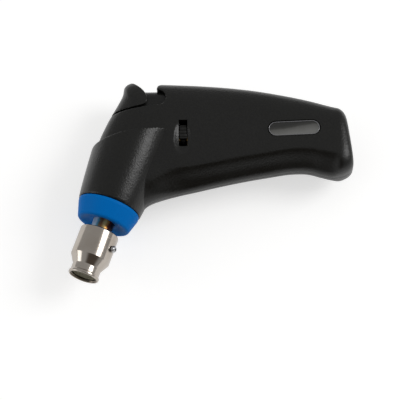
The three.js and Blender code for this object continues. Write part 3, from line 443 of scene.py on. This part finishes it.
# Links colour, gloss and relief to a surface
def dress(tree, surface, colour, gloss, height, strength, relief):
    bump = add(tree, "ShaderNodeBump", {"Strength": strength, "Distance": relief}, {"Height": height})
    tree.links.new(colour, surface.inputs["Base Color"])
    tree.links.new(gloss, surface.inputs["Roughness"])
    tree.links.new(bump.outputs["Normal"], surface.inputs["Normal"])


# Moulded plastic: satin, with the fine spark-cut grain of its mould and a slow drift of gloss
def moulded(name, dark, light, rough, grain_mm, grain, settings=None):
    finish, tree, surface, place = start_finish(name, settings or {})
    fine = noise(tree, place, 1000 / grain_mm, 2.0)
    colour = banded(tree, fine, [(0.35, dark), (0.65, light)])
    gloss = banded(tree, noise(tree, place, GLOSS_DRIFT, 3.0), [(0.3, rough[0]), (0.7, rough[1])])
    dress(tree, surface, colour, gloss, fine, grain, PLASTIC_RELIEF)
    return finish


# Turned or drawn metal: fine lines around the barrel, with slow stains of about 11 mm
def worked_metal(name, stops, rough, line_mm, depth):
    finish, tree, surface, place = start_finish(name, {"Metallic": 1.0})
    turn = add(tree, "ShaderNodeMapping", {"Rotation": (0, 0, LEAN)}, {"Vector": place}, vector_type="POINT")
    scale = (LINE_STRETCH, 1000 / line_mm, LINE_STRETCH)
    stretch = add(tree, "ShaderNodeMapping", {"Scale": scale}, {"Vector": turn.outputs["Vector"]})
    lines = noise(tree, stretch.outputs["Vector"], 1.0, 3.0)
    colour = banded(tree, noise(tree, place, METAL_STAIN, 4.0), stops)
    gloss = banded(tree, lines, [(0.3, rough[0]), (0.7, rough[1])])
    dress(tree, surface, colour, gloss, lines, depth, METAL_RELIEF)
    return finish


# Painted shade inside the mouth: every face nearer to the barrel line than a radius in millimetres is darkened
# to a dark brown
def shaded_inside(finish, radius):
    tree = finish.node_tree
    colour = tree.nodes["Principled BSDF"].inputs["Base Color"]
    plain_colour = colour.links[0].from_socket
    place = add(tree, "ShaderNodeTexCoord").outputs["Object"]
    away = add(tree, "ShaderNodeVectorMath", {1: at(0, 0)}, {0: place}, operation="SUBTRACT").outputs["Vector"]
    across = add(tree, "ShaderNodeVectorMath", {1: BARREL}, {0: away}, operation="CROSS_PRODUCT")
    reach = add(tree, "ShaderNodeVectorMath", {}, {0: across.outputs["Vector"]}, operation="LENGTH")
    limits = {"From Min": (radius - INNER_SHADE_FADE) * MM, "From Max": (radius + INNER_SHADE_FADE) * MM}
    unshaded = add(tree, "ShaderNodeMapRange", limits, {"Value": reach.outputs["Value"]}).outputs["Result"]
    # Colour of the painted shade inside the mouth
    inner_shade = {"A": linear("#332d27")}
    both = add(tree, "ShaderNodeMix", inner_shade, {"Factor": unshaded, "B": plain_colour}, data_type="RGBA")
    tree.links.new(both.outputs["Result"], colour)
    return finish


# Drawn steel that has been hot: bands of straw, bronze and blue oxide across the tube, between a painted
# highlight, near white, on one side and painted shade, near black, on the other, all moved by blotches of about
# 2.4 mm
def heat_tinted_with_painted_light(name):
    finish, tree, surface, place = start_finish(name, {"Metallic": 0.55, "Roughness": 0.3})
    start = at(0, 0) + BARREL_SIDE * TINT_AND_SHADE_REACH * MM
    across = share_along(tree, place, start, -BARREL_SIDE, 2 * TINT_AND_SHADE_REACH)
    share = moved_by(tree, across, noise(tree, place, OXIDE_AND_SHADE_BLOTCH, 3.0), 0.16)
    # Near white at the start of the span is a painted highlight, near black at its end is painted shade; the
    # bands between are heat tint
    colour = banded(tree, share, [
        (0.0, "#e2eaee"), (0.3, "#d2e2e8"), (0.4, "#58a8bd"), (0.5, "#7c6a4a"), (0.6, "#8a5a34"),
        (0.72, "#f0cf85"), (0.84, "#cf8f3e"), (0.92, "#6a2c1c"), (1.0, "#2a1a16"),
    ])
    tree.links.new(colour, surface.inputs["Base Color"])
    return finish


# Smoked clear plastic over the fuel, with painted light: painted shade that is dark at its upper edge and
# lightens downwards, a painted highlight on its rim, and a waver of about 8 mm in the painted shade
def smoked_clear_painted_light(name):
    polish = {"Roughness": 0.16, "Coat Weight": 0.4, "Coat Roughness": 0.08}
    finish, tree, surface, place = start_finish(name, polish)
    top = at(WINDOW_PLACE[0], WINDOW_PLACE[1] + WINDOW_SIZE[1] / 2)
    down = share_along(tree, place, top, WINDOW_DOWN, WINDOW_SIZE[1])
    share = moved_by(tree, down, noise(tree, place, PAINTED_SHADE_WAVER, 2.0), 0.3)
    # Painted shade: the pane is dark at its top and lighter towards its bottom
    pane = banded(tree, share, [(0.34, "#131310"), (0.5, "#2a2a27"), (0.62, "#50504d"), (1.0, "#6c6c6a")])
    away = add(tree, "ShaderNodeVectorMath", {1: at(0, 0)}, {0: place}, operation="SUBTRACT")
    rise = add(tree, "ShaderNodeVectorMath", {}, {0: away.outputs["Vector"]}, operation="ABSOLUTE")
    rise = add(tree, "ShaderNodeSeparateXYZ", {}, {0: rise.outputs["Vector"]})
    # Painted highlight: the raised rim is a lighter grey
    limits = {"From Min": (HALF_WIDTH - RIM_HIGHLIGHT_DEPTHS[0]) * MM, "From Max": (HALF_WIDTH - RIM_HIGHLIGHT_DEPTHS[1]) * MM}
    rim = add(tree, "ShaderNodeMapRange", limits, {"Value": rise.outputs["Z"]}).outputs["Result"]
    both = add(tree, "ShaderNodeMix", {"B": linear("#77777a")}, {"Factor": rim, "A": pane}, data_type="RGBA")
    tree.links.new(both.outputs["Result"], surface.inputs["Base Color"])
    return finish


# Spark-textured black ABS: satin, its grain of about 0.4 mm drawn at 1 mm so that it sparkles in a highlight
BLACK_ABS = moulded("black_abs_moulded", "#0e0e0c", "#161614", (0.26, 0.34), 1.0, 1.0,
                    {"Specular IOR Level": 0.36})
# Glass-filled nylon: a deep even blue with a soft sheen
BLUE_NYLON = moulded("blue_glass_filled_nylon", "#0070c6", "#0078cf", (0.45, 0.52), 0.4, 0.15,
                     {"Specular IOR Level": 0.05})
# Smoked acrylic of the fuel windows, with painted shade at the top of the pane, lighter lower down, and a
# painted highlight on the rim
SMOKED_PAINTED_LIGHT = smoked_clear_painted_light("smoked_acrylic_painted_shade_and_rim_highlight")
# Milky acetal of the tank
TANK_PLASTIC = moulded("tank_acetal", "#858a90", "#8f949a", (0.3, 0.36), 2.0, 0.1)
# Undyed nylon of the igniter and the filler pin
WHITE_NYLON = moulded("white_nylon", "#d2d0c9", "#dcdad3", (0.45, 0.55), 0.6, 0.2)
# Porous catalyst carrier, dull and speckled, made near black as painted shade behind the screen
CERAMIC = moulded("catalyst_ceramic", "#1d1a16", "#3a352d", (0.8, 0.9), 0.5, 0.8)
# Dull rubber of the seal and the gas hose
RUBBER = moulded("seal_rubber", "#161616", "#1f1f1f", (0.7, 0.8), 0.5, 0.3)
# Silicone sheath of the ignition lead
LEAD_SHEATH = moulded("lead_sheath_silicone", "#861d1a", "#93231f", (0.45, 0.55), 0.6, 0.2)
# Bright nickel on spun steel: a warm mirror with faint rings left by the spinning tool, with painted shade
# inside the mouth
NICKEL = worked_metal("nickel_plated_steel", [(0.3, "#aaa197"), (0.7, "#b8b1a9")], (0.12, 0.24), 0.25, 0.15)
shaded_inside(NICKEL, INNER_SHADE_RADIUS)
# Drawn steel tube, coloured by heat, with a painted highlight on one side and painted shade on the other
TINTED_AND_SHADED = heat_tinted_with_painted_light("heat_tinted_steel_painted_light")
# Zinc-plated steel of the screws
STEEL = worked_metal("zinc_plated_steel", [(0.3, "#b5b6b8"), (0.7, "#cacbcc")], (0.25, 0.35), 0.3, 0.2)
# Oxidised wire, dull olive grey
DARK_STEEL = moulded("oxidised_wire_steel", "#938e78", "#b3ae96", (0.4, 0.5), 0.6, 0.2, {"Metallic": 0.1})
# Turned brass of the valves
BRASS = worked_metal("turned_brass", [(0.3, "#ad8838"), (0.7, "#bf9a48")], (0.25, 0.35), 0.25, 0.2)

NODE_FINISH = {
    "black_plastic": BLACK_ABS, "blue_plastic": BLUE_NYLON, "smoked_plastic": SMOKED_PAINTED_LIGHT,
    "tank_plastic": TANK_PLASTIC, "white_nylon": WHITE_NYLON, "brass": BRASS, "steel": STEEL,
    "nickel_plate": NICKEL, "tinted_steel": TINTED_AND_SHADED, "dark_steel": DARK_STEEL, "ceramic": CERAMIC,
    "rubber": RUBBER, "lead_sheath": LEAD_SHEATH,
}


# Lines through the stations
def cubic(start, end, leave, arrive, share):
    c2 = (end - start) * 3 - leave * 2 - arrive
    c3 = (start - end) * 2 + leave + arrive
    return start + leave * share + c2 * share ** 2 + c3 * share ** 3


# A smooth line through points, which gives the spot at a station
def line_through(points):
    points = [Vector(point) for point in points]
    whole = [points[0] * 2 - points[1]] + points + [points[-1] * 2 - points[-2]]

    def spot(station):
        first = min(int(station), len(points) - 2)
        share = station - first
        p0, p1, p2, p3 = whole[first:first + 4]
        d0, d1, d2 = (math.sqrt((b - a).length) for a, b in ((p0, p1), (p1, p2), (p2, p3)))
        t1 = ((p1 - p0) / d0 - (p2 - p0) / (d0 + d1) + (p2 - p1) / d1) * d1
        t2 = ((p2 - p1) / d1 - (p3 - p1) / (d1 + d2) + (p3 - p2) / d2) * d1
        return cubic(p1, p2, t1, t2, share)

    return spot


# The same for values, without overshoot
def even_through(values):
    whole = [values[0]] + list(values) + [values[-1]]

    def value(station):
        first = min(int(station), len(values) - 2)
        share = station - first
        v0, v1, v2, v3 = whole[first:first + 4]
        t1 = (v2 - v0) / 2 if (v1 - v0) * (v2 - v1) > 0 else 0
        t2 = (v3 - v1) / 2 if (v2 - v1) * (v3 - v2) > 0 else 0
        return cubic(v1, v2, t1, t2, share)

    return value


back_line = line_through([station[0] for station in STATIONS])
belly_line = line_through([station[1] for station in STATIONS])
squareness = even_through([station[2] for station in STATIONS])
cove_share = even_through([station[3] for station in STATIONS])
cove_start = even_through(COVE_START)
butt_span = (back_line(LAST) - back_line(LAST - 1)).length


# One section of the grip, moved inwards by the inset
def ring(station, inset=0.0, steps=48):
    back, belly = back_line(station), belly_line(station)
    along = (belly - back).normalized()
    depth = (belly - back).length
    square = squareness(station)
    cove = cove_share(station) * COVE_DEPTH
    edge = inset / depth
    side = []
    for i in range(steps + 1):
        angle = math.pi * i / steps
        reach = math.cos(angle)
        inner = 0.5 * (1 - math.copysign(abs(reach) ** (2 / square), reach))
        q = edge + (1 - 2 * edge) * inner
        full = max(1 - abs(2 * q - 1) ** square, 0) ** (1 / square)
        outer = HALF_WIDTH * full * (1 - cove * ease(q, cove_start(station), COVE_END)) - inset
        z = 0 if i in (0, steps) else min((HALF_WIDTH - inset) * math.sin(angle) ** (2 / square), outer)
        spot = back + along * (q * depth)
        side.append((spot.x, spot.y, z))
    return side + [(x, y, -z) for x, y, z in reversed(side[1:-1])]


def placed(points):
    return [at(*point) for point in points]


def fine_stations(first, last, gap):
    stations = []
    for index in range(int(first), int(math.ceil(last))):
        start, end = max(index, first), min(index + 1, last)
        reach = max((line(end) - line(start)).length for line in (back_line, belly_line))
        count = max(2, math.ceil(reach / gap))
        stations += [start + (end - start) * i / count for i in range(count)]
    return stations + [last]


# The grip from the head to the butt, where the sections shrink along a quarter round
def grip_skin(name, steps=48, gap=1.6):
    butt_start = LAST - BUTT_EDGE / butt_span
    stations = [s for s in fine_stations(1.2, LAST - 0.5, gap) if s < butt_start - 0.04]
    rings = [ring(station, 0, steps) for station in stations]
    for i in range(BUTT_STEPS + 1):
        turn = math.radians(90 * i / BUTT_STEPS)
        station = LAST - BUTT_EDGE * (1 - math.sin(turn)) / butt_span
        rings.append(ring(station, BUTT_EDGE * (1 - math.cos(turn)), steps))
    return skin(name, [placed(points) for points in rings])


# The barrel is a turned form, cut off along the shoulder
def barrel_form(name, inset=0.0, steps=128):
    profile = [(radius - inset, -back) for radius, back in BARREL_FORM]
    whole = turned_on_barrel(name, [(0, profile[0][1])] + profile + [(0, profile[-1][1])], steps)
    near, far = -60, 90
    line = [(x, SHOULDER_HEIGHT - inset + SHOULDER_SLOPE * (x - SHOULDER_START)) for x in (far, near)]
    keep = plate("shoulder_tool", [(near, near), (far, near)] + line, -CLEAR_SIDE, CLEAR_SIDE)
    return shape(whole, keep, "INTERSECT")


# Thumb notch: a slanting floor under the horn, a round pocket behind it and the lip over that
def notch_tool():
    points = [(x, notch_line(x)) for x in (CLEAR_LOW, 26.2)]
    points += arc((26.9, 62.25), 5.1, -90, 84, 16)[1:]
    points += arc((28.1, 68.4), 1.3, 250, 180, 6)
    points += arc((31.1, 68.6), 4.3, 180, 95, 12)
    points += [(34, 73.4), (36, 80), (36, CLEAR_HIGH), (CLEAR_LOW, CLEAR_HIGH)]
    return plate("notch_tool", points, -CLEAR_SIDE, CLEAR_SIDE)


# A bar along x with a flat bottom and a rounded top
def arch(name, half, bottom, top, corner, start, end):
    points = [(-half, bottom), (half, bottom)]
    points += arc((half - corner, top - corner), corner, 0, 90, 10)
    points += arc((corner - half, top - corner), corner, 90, 180, 10)
    return slab(name, [at(start, y, z) for z, y in points], ((end - start) * MM, 0, 0))


def oblong_points(length, height):
    radius = height / 2
    straight = length / 2 - radius
    points = arc((straight, 0), radius, -90, 90, 20) + arc((-straight, 0), radius, 90, 270, 20)
    turn = Matrix.Rotation(WINDOW_TURN, 2)
    return [tuple(turn @ Vector(point) + Vector(WINDOW_PLACE)) for point in points]


# The window's oblong in levels of (rise over the side, spread)
def oblong_skin(name, side, levels):
    rings = []
    for rise, spread in levels:
        points = oblong_points(*(size + 2 * spread for size in WINDOW_SIZE))
        rings.append([at(x, y, side * (HALF_WIDTH + rise)) for x, y in points])
    return skin(name, rings)


# Window opening with a small bevel all round its rim
def window_tool(side):
    return oblong_skin("window_tool", side, [(-4.0, 0.0), (-0.7, 0.0), (0.0, 0.45), (1.5, 1.5)])


# Leaf-shaped finger dish around the regulator
def dish_tool():
    unit = arc((0, 0), 1, 0, 360 - 360 / 48, 47)
    rings = []
    for share in (0.0, 0.2, 0.4, 0.6, 0.8, 1.0, 1.2):
        level = HALF_WIDTH - DISH_DEPTH * (1 - share ** 2.2)
        width, length = (size * max(share, 0.04) for size in DISH_SIZE)
        rings.append([at(DISH_PLACE[0] + width * x, DISH_PLACE[1] + length * y, level) for x, y in unit])
    return skin("dish_tool", rings)


def bar(name, x, y, radius, low, high, count=24):
    return plate(name, arc((x, y), radius, 0, 360 - 360 / count, count - 1), low, high)


# Hollow of the housing: grip and barrel less their walls, roofed by the notch and the deck
def cavity_tool():
    stations = [0.5 + 0.5 * i for i in range(int((LAST - 1.1) / 0.5) + 1)] + [LAST - WALL / butt_span]
    hollow = skin("cavity_tool", [placed(ring(station, WALL, 24)) for station in stations])
    roof = [(x, notch_line(x) - NOTCH_WALL) for x in (CLEAR_LOW, 7)]
    roof += [(x, DECK - WALL) for x in DECK_SPAN]
    roof += [(DECK_SPAN[1], CLEAR_HIGH), (CLEAR_LOW, CLEAR_HIGH)]
    shape(hollow, plate("roof_tool", roof, -CLEAR_SIDE, CLEAR_SIDE))
    shape(hollow, barrel_form("barrel_hollow", WALL, 48), "UNION")
    bore = turned_on_barrel("bore_tool", [(0, -9), (15.5, -9), (15.5, 1), (0, 1)], 64)
    return shape(hollow, bore, "UNION")


# Weight of the ironing: only the tip of the lip over the notch
def lip_tip(spot):
    return (1 - ease(spot.x, 30, 35)) * ease(spot.y, 67, 69) * ease(spot.x, 22, 24)


# Housing: the grip is notched and dished, the barrel joins it along a crisp line, both are split in the middle
housing = grip_skin("housing")
shape(housing, notch_tool())
shape(housing, dish_tool())
melt(housing, HOUSING_VOXEL, 5)
blend(housing, 16, lip_tip)
shape(housing, melt(barrel_form("barrel"), HOUSING_VOXEL, 4), "UNION")
tunnel = (SADDLE_SPAN[0] - TRIGGER_TRAVEL - PLAY, SADDLE_SPAN[1] + PLAY)
shape(housing, arch("tunnel_tool", SADDLE_HALF + PLAY, DECK, SADDLE_TOP + PLAY, SADDLE_CORNER + PLAY, *tunnel))
shape(housing, cavity_tool())
leg_room = (LEG_SPAN[0] - TRIGGER_TRAVEL - PLAY, LEG_SPAN[1] + PLAY)
shape(housing, block("leg_slot", leg_room, (DECK - 5, DECK + 0.2), (-LEG_HALF - PLAY, LEG_HALF + PLAY)))
hole = [(0, 120), (FILLER_HOLE, 120), (FILLER_HOLE, 150), (0, 150)]
shape(housing, turned_on_filler("filler_tool", hole))
left_half = copy_of(housing, "moulded_left_half")
right_half = housing
right_half.name = right_half.data.name = "moulded_right_half"
whole_span = (CLEAR_LOW, CLEAR_HIGH)
shape(left_half, block("left_keep", whole_span, whole_span, (PARTING_GAP / 2, CLEAR_SIDE)), "INTERSECT")
shape(right_half, block("right_keep", whole_span, whole_span, (-CLEAR_SIDE, -PARTING_GAP / 2)), "INTERSECT")
shape(left_half, window_tool(1))
shape(left_half, block("slot_tool", SLOT_SIDES, SLOT_SPAN, (7, 30)))
shape(right_half, window_tool(-1))
pockets = [bar("pocket_tool", x, y, POCKET_RADIUS, -CLEAR_SIDE, POCKET_FLOOR) for x, y in SCREWS]
shape(right_half, together(pockets))
fit(left_half, "body", "black_plastic", BLACK_ABS, "left_housing")
fit(right_half, "body", "black_plastic", BLACK_ABS, "right_housing")


# Trigger: the horn carries on the form of the head, with a saddle behind it and a leg through the deck
def trigger_piece():
    stations = fine_stations(3, 9, 1.2)
    horn = skin("thumb_trigger", [placed(ring(station, 0, 48)) for station in stations])
    floor = [(x, notch_line(x) + HORN_GAP) for x in (CLEAR_LOW, 15.2, 19.6)]
    points = floor[:2]
    points += bezier(floor[1], floor[2], (21.7, 57.9), (21.6, 61.6), 14)
    points += bezier((21.6, 61.6), (21.4, 66.0), (16.6, 70.9), (10.4, 75.6), 14)
    points += [(10.4, CLEAR_HIGH), (CLEAR_LOW, CLEAR_HIGH)]
    shape(horn, plate("horn_tool", points, -CLEAR_SIDE, CLEAR_SIDE), "INTERSECT")
    melt(horn, HORN_VOXEL, 5)
    saddle = arch("saddle", SADDLE_HALF, DECK + PLAY, SADDLE_TOP, SADDLE_CORNER, *SADDLE_SPAN)
    soften(saddle, 0.6, 50, 3)
    shape(horn, saddle, "UNION")
    return shape(horn, block("leg", LEG_SPAN, (LEG_FOOT, DECK + 1.4), (-LEG_HALF, LEG_HALF)), "UNION")


fit(trigger_piece(), "trigger", "black_plastic", BLACK_ABS, "trigger")


# Regulator: a ring on the valve, an arm and a crowned, ridged knob in the slot
def regulator_piece():
    x, y = KNOB_PLACE
    profile = eased([(4.6, -1.8), (7, -1.8, 0.3), (7, 1.8, 0.3), (4.6, 1.8)], 3)
    lever = turned("ridged_lever", profile, at(x, y), Vector((1, 0, 0)), Vector((0, 1, 0)), 48)
    shape(lever, block("arm", (x - 1.4, x + 1.4), (y - 1.6, y + 1.6), (5.8, 11.6)), "UNION")
    foot, edge, top, crown, groove = 10.9, 12.0, 12.2, 0.2, 0.25
    profile = [(-KNOB_HALF, foot), (KNOB_HALF, foot), (KNOB_HALF, edge)]
    for i in range(25):
        spot = KNOB_HALF - 2 * KNOB_HALF * i / 24
        profile.append((spot, top + crown * (1 - (spot / KNOB_HALF) ** 2) - groove * (i % 6 == 3)))
    profile.append((-KNOB_HALF, edge))
    points = [at(x - KNOB_WIDTH / 2, y + spot, rise) for spot, rise in profile]
    knob = slab("knob", points, (KNOB_WIDTH * MM, 0, 0))
    soften(knob, 0.25, 50, 2)
    return shape(lever, knob, "UNION")


fit(regulator_piece(), "regulator", "black_plastic", BLACK_ABS, "regulator_lever")

# Nose collar, burner tube, nozzle cup and the catalyst in its neck
collar = turned_on_barrel("nose_ring", eased([
    (12.8, -6), (15.2, -6), (15.2, -0.5), (17.4, -0.5, 0.25), (17.4, 1.0, 0.6),
    (14.7, 9.9, 1.6), (12.8, 9.9, 1.0), (8.6, 8.3, 0.8), (6.25, 8.1), (6.25, 5.4), (12.8, 5.4),
], 8))
fit(collar, "body", "blue_plastic", BLUE_NYLON, "nose_collar")
tube = turned_on_barrel("drawn_tube", [(5.05, -19.7), (5.95, -19.7), (5.95, 26), (5.05, 26)])
fit(tube, "body", "tinted_steel", TINTED_AND_SHADED, "burner_tube")
cup = turned_on_barrel("spun_cup", eased([
    (6.25, 14.6), (11, 14.6, 0.9), (11, 30.9, 0.8), (8.1, 36.0, 0.8), (8.1, 39.6, 0.5),
    (8.7, 40.3, 0.3), (8.7, 41.4, 0.5), (8.15, 41.9, 0.25), (7.75, 41.6, 0.2), (7.75, 40.8),
    (6.95, 40.7, 0.15), (6.95, 40.1), (7.45, 40.0), (7.45, 36.2), (10.3, 31.2), (10.3, 15.3), (6.25, 15.3),
], 6))
fit(cup, "body", "nickel_plate", NICKEL, "nozzle_cup")
core = turned_on_barrel("catalyst_disc", eased([
    (0, 36.6), (7.3, 36.6, 0.3), (7.3, 38.9, 0.4), (6.3, 38.9, 0.4), (5.7, 38.5), (0, 38.3),
], 4))
fit(core, "body", "ceramic", CERAMIC, "catalyst_core")


# Outlet screen: one wavy wire is modelled, copied into a plain weave and trimmed to the mouth. It is drawn
# coarser than a real weave so that it shows
def woven_screen():
    middle = at(0, 0) + BARREL * SCREEN_STATION * MM
    count = int(SCREEN_RADIUS / SCREEN_PITCH)
    turns = [math.tau * k / 6 for k in range(6)]
    rings = []
    for i in range(8 * count + 1):
        spot = -count * SCREEN_PITCH + i * SCREEN_PITCH / 4
        lift = math.cos(math.pi * spot / SCREEN_PITCH)
        wave = [(spot, WIRE_RADIUS * math.cos(t), WIRE_RADIUS * (lift + math.sin(t))) for t in turns]
        rings.append([Vector(point) * MM for point in wave])
    strand = skin("strand", rings)
    warp, weft = (BARREL_SIDE + LEFT).normalized(), (BARREL_SIDE - LEFT).normalized()
    strands = []
    for across, (first, second) in enumerate(((warp, weft), (weft, warp))):
        for row in range(-count, count + 1):
            flip = 1 if (row + across) % 2 else -1
            turn = Matrix((first, second, BARREL * flip)).transposed().to_4x4()
            twin = copy_of(strand, "strand_%d_%d" % (across, row))
            twin.data.transform(Matrix.Translation(middle + second * row * SCREEN_PITCH * MM) @ turn)
            strands.append(twin)
    bpy.data.objects.remove(strand)
    screen = together(strands)
    screen.name = screen.data.name = "woven_screen"
    edit_all(screen)
    mesh = bmesh.from_edit_mesh(screen.data)
    for vertex in mesh.verts:
        offset = vertex.co - middle
        vertex.select_set((offset - BARREL * offset.dot(BARREL)).length > SCREEN_TRIM * MM)
    mesh.select_flush(True)
    bpy.ops.mesh.delete(type="VERT")
    close_edit(screen, 1e-7)
    profile = [(6.9, 39.4), (SCREEN_RADIUS, 39.4, 0.1), (SCREEN_RADIUS, 40.0, 0.2), (6.9, 40.0, 0.2)]
    return together([screen, turned_on_barrel("screen_rim", eased(profile, 4))])


fit(woven_screen(), "body", "dark_steel", DARK_STEEL, "outlet_screen")


# A cross-head screw, standing along an axis with its head's seat at the given place
def cross_screw(name, place, axis, across, head, radius, length, height):
    other = axis.cross(across)
    profile = [(0, -length), (radius, -length + 0.4), (radius, 0)]
    profile += [(head, 0, 0.15), (head, height, 0.55 * height), (0, height)]
    screw = turned(name, eased(profile, 5), place, axis, across, 40)
    bottom = place + axis * (height - CROSS_DEPTH) * MM
    corners = [(-0.62, -0.17), (0.62, -0.17), (0.62, 0.17), (-0.62, 0.17)]
    for first, second in ((across, other), (other, across)):
        points = [bottom + (first * u + second * v) * head * MM for u, v in corners]
        shape(screw, slab("cross_tool", points, axis * 2 * MM))
    return screw


outward = -BARREL_SIDE * math.cos(CLAMP_TURN) + LEFT * math.sin(CLAMP_TURN)
seat = at(0, 0) + (BARREL * CLAMP_STATION + outward * CLAMP_SEAT) * MM
clamp = cross_screw("clamp_screw", seat, outward, BARREL, 1.9, 1.25, 4.6, 2.0)
fit(clamp, "body", "steel", STEEL, "nozzle_screw", angle=40)
first_screw = cross_screw("case_screw", at(0, 0, SCREW_SEAT), -LEFT, Vector((1, 0, 0)), 2.6, 1.25, 16.5, 1.9)
for number, (x, y) in enumerate(SCREWS, 1):
    screw = copy_of(first_screw, "case_screw_%d" % number, (x, y, 0))
    fit(screw, "body", "steel", STEEL, "housing_screw_%d" % number, angle=40)
bpy.data.objects.remove(first_screw)

# Window lenses: each fills its opening down through the wall, with a raised rim and a sunk pane
LENS_LEVELS = [
    (-2.4, -0.2), (-0.5, -0.2), (-0.25, -0.3), (-0.2, -0.45), (-0.25, -0.6), (-0.6, -0.8), (-0.7, -1.3),
]
for side, hand in ((1, "left"), (-1, "right")):
    lens = oblong_skin("window_lens_" + hand, side, LENS_LEVELS)
    fit(lens, "body", "smoked_plastic", SMOKED_PAINTED_LIGHT, "fuel_window_" + hand)

# Gas filler in the butt: turned brass valve with its seal and pin
filler = turned_on_filler("filler_body", eased([
    (1.7, 126.5), (1.7, FILLER_END, 0.25), (3.0, FILLER_END), (3.15, FILLER_END - 0.35),
    (3.5, FILLER_END - 0.35), (3.65, FILLER_END), (4.5, FILLER_END, 0.4), (4.5, TANK_BACK + 3.5),
    (6.5, TANK_BACK + 3.5, 0.2), (6.5, TANK_BACK + 2.1, 0.2), (4.5, TANK_BACK + 2.1),
    (4.5, TANK_BACK - 4.5), (0, TANK_BACK - 4.5), (0, 126.5),
], 4))
fit(filler, "body", "brass", BRASS, "filler_valve")
pin = turned_on_filler("filler_pin", eased([
    (0, FILLER_END - 4.3), (1.3, FILLER_END - 4.3), (1.3, FILLER_END + 0.7, 0.35),
    (0.55, FILLER_END + 0.7, 0.1), (0.55, FILLER_END - 0.6), (0, FILLER_END - 0.6),
], 4), 32)
fit(pin, "filler_plunger", "white_nylon", WHITE_NYLON, "filler_stem")
seal = turned_on_filler("filler_gasket", eased([
    (FILLER_HOLE, TANK_BACK + 0.3), (6.5, TANK_BACK + 0.3, 0.5), (6.5, TANK_BACK + 1.8, 0.5),
    (FILLER_HOLE, TANK_BACK + 1.8),
], 4))
fit(seal, "body", "rubber", RUBBER, "filler_seal")

# The solids inside keep their own shapes and take the finish of their slot
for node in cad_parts.values():
    for item in node.material_slots:
        base = item.material.name.split(".")[0] if item.material else ""
        item.material = NODE_FINISH.get(base, STEEL)

# Camera at the photograph's viewing angle, aimed a little left of and below the middle of the part
TILT = math.radians(22)
TURN = 0.0137
CAMERA_DISTANCE = 0.9
AIM_LEFT, AIM_DOWN = 0.00629, 0.01034
look_right = Matrix.Rotation(-TURN, 3, "Z") @ Vector((1, 0, 0))
look_up = Matrix.Rotation(-TURN, 3, "Z") @ Vector((0, math.cos(TILT), math.sin(TILT)))
centre = Vector((0, 0, TOOL_ORIGIN.z * MM))
eye = centre + look_right.cross(look_up) * CAMERA_DISTANCE
aim = centre - look_right * AIM_LEFT - look_up * AIM_DOWN
camera_data = bpy.data.cameras.new("camera")
camera_data.lens = 145.45
camera_data.sensor_width = 36
camera_data.clip_end = 20
camera = bpy.data.objects.new("camera", camera_data)
bpy.context.scene.collection.objects.link(camera)
back = (eye - aim).normalized()
right = look_up.cross(back).normalized()
up = back.cross(right)
camera.matrix_world = Matrix.Translation(eye) @ Matrix((right, up, back)).transposed().to_4x4()
bpy.context.scene.camera = camera

# Pale floor: white paper that keeps the shadow and is lifted to white for the eye and for reflections
PAPER_LIFT = 0.6
deselect()
bpy.ops.mesh.primitive_plane_add(size=6)
floor = bpy.context.object
floor.name = floor.data.name = "floor"
look = {"Roughness": 0.9, "Base Color": linear("#d2d2d1"), "Emission Color": (1, 1, 1, 1)}
paper, tree, surface = start_finish("white_paper", look)[:3]
path = add(tree, "ShaderNodeLightPath").outputs
seen = path["Is Camera Ray"]
for kind in ("Is Glossy Ray", "Is Transmission Ray"):
    seen = add(tree, "ShaderNodeMath", {}, {0: seen, 1: path[kind]}, operation="ADD").outputs["Value"]
lift = add(tree, "ShaderNodeMath", {1: PAPER_LIFT}, {0: seen}, operation="MULTIPLY")
tree.links.new(lift.outputs["Value"], surface.inputs["Emission Strength"])
floor.data.materials.append(paper)

# Soft studio light: a large softbox high on the right, a low one on the left and a grey room, darker in front
LAMP_DISTANCE = 1.6
ROOM_FRONT = (0.08, -0.74, 0.67)


def softbox(name, direction, size, radiance):
    lamp = bpy.data.lights.new(name, "AREA")
    lamp.shape = "RECTANGLE"
    lamp.size, lamp.size_y = size
    lamp.energy = radiance * math.pi * size[0] * size[1]
    box = bpy.data.objects.new(name, lamp)
    bpy.context.scene.collection.objects.link(box)
    box.location = centre + Vector(direction).normalized() * LAMP_DISTANCE
    box.rotation_euler = Vector(direction).to_track_quat("Z", "Y").to_euler()


softbox("right_softbox", (0.735, 0.14, 0.66), (0.75, 0.75), 5.5)
softbox("left_softbox", (-0.95, -0.05, 0.3), (0.8, 0.7), 2.2)
world = bpy.data.worlds.new("studio")
world.use_nodes = True
tree = world.node_tree
ahead = add(tree, "ShaderNodeTexCoord").outputs["Generated"]
frontness = add(tree, "ShaderNodeVectorMath", {1: ROOM_FRONT}, {0: ahead}, operation="DOT_PRODUCT")
room = banded(tree, frontness.outputs["Value"], [(0.8, 0.46), (0.92, "#574f48")])
tree.links.new(room, tree.nodes["Background"].inputs["Color"])
bpy.context.scene.world = world
bpy.context.scene.view_settings.view_transform = "Standard"
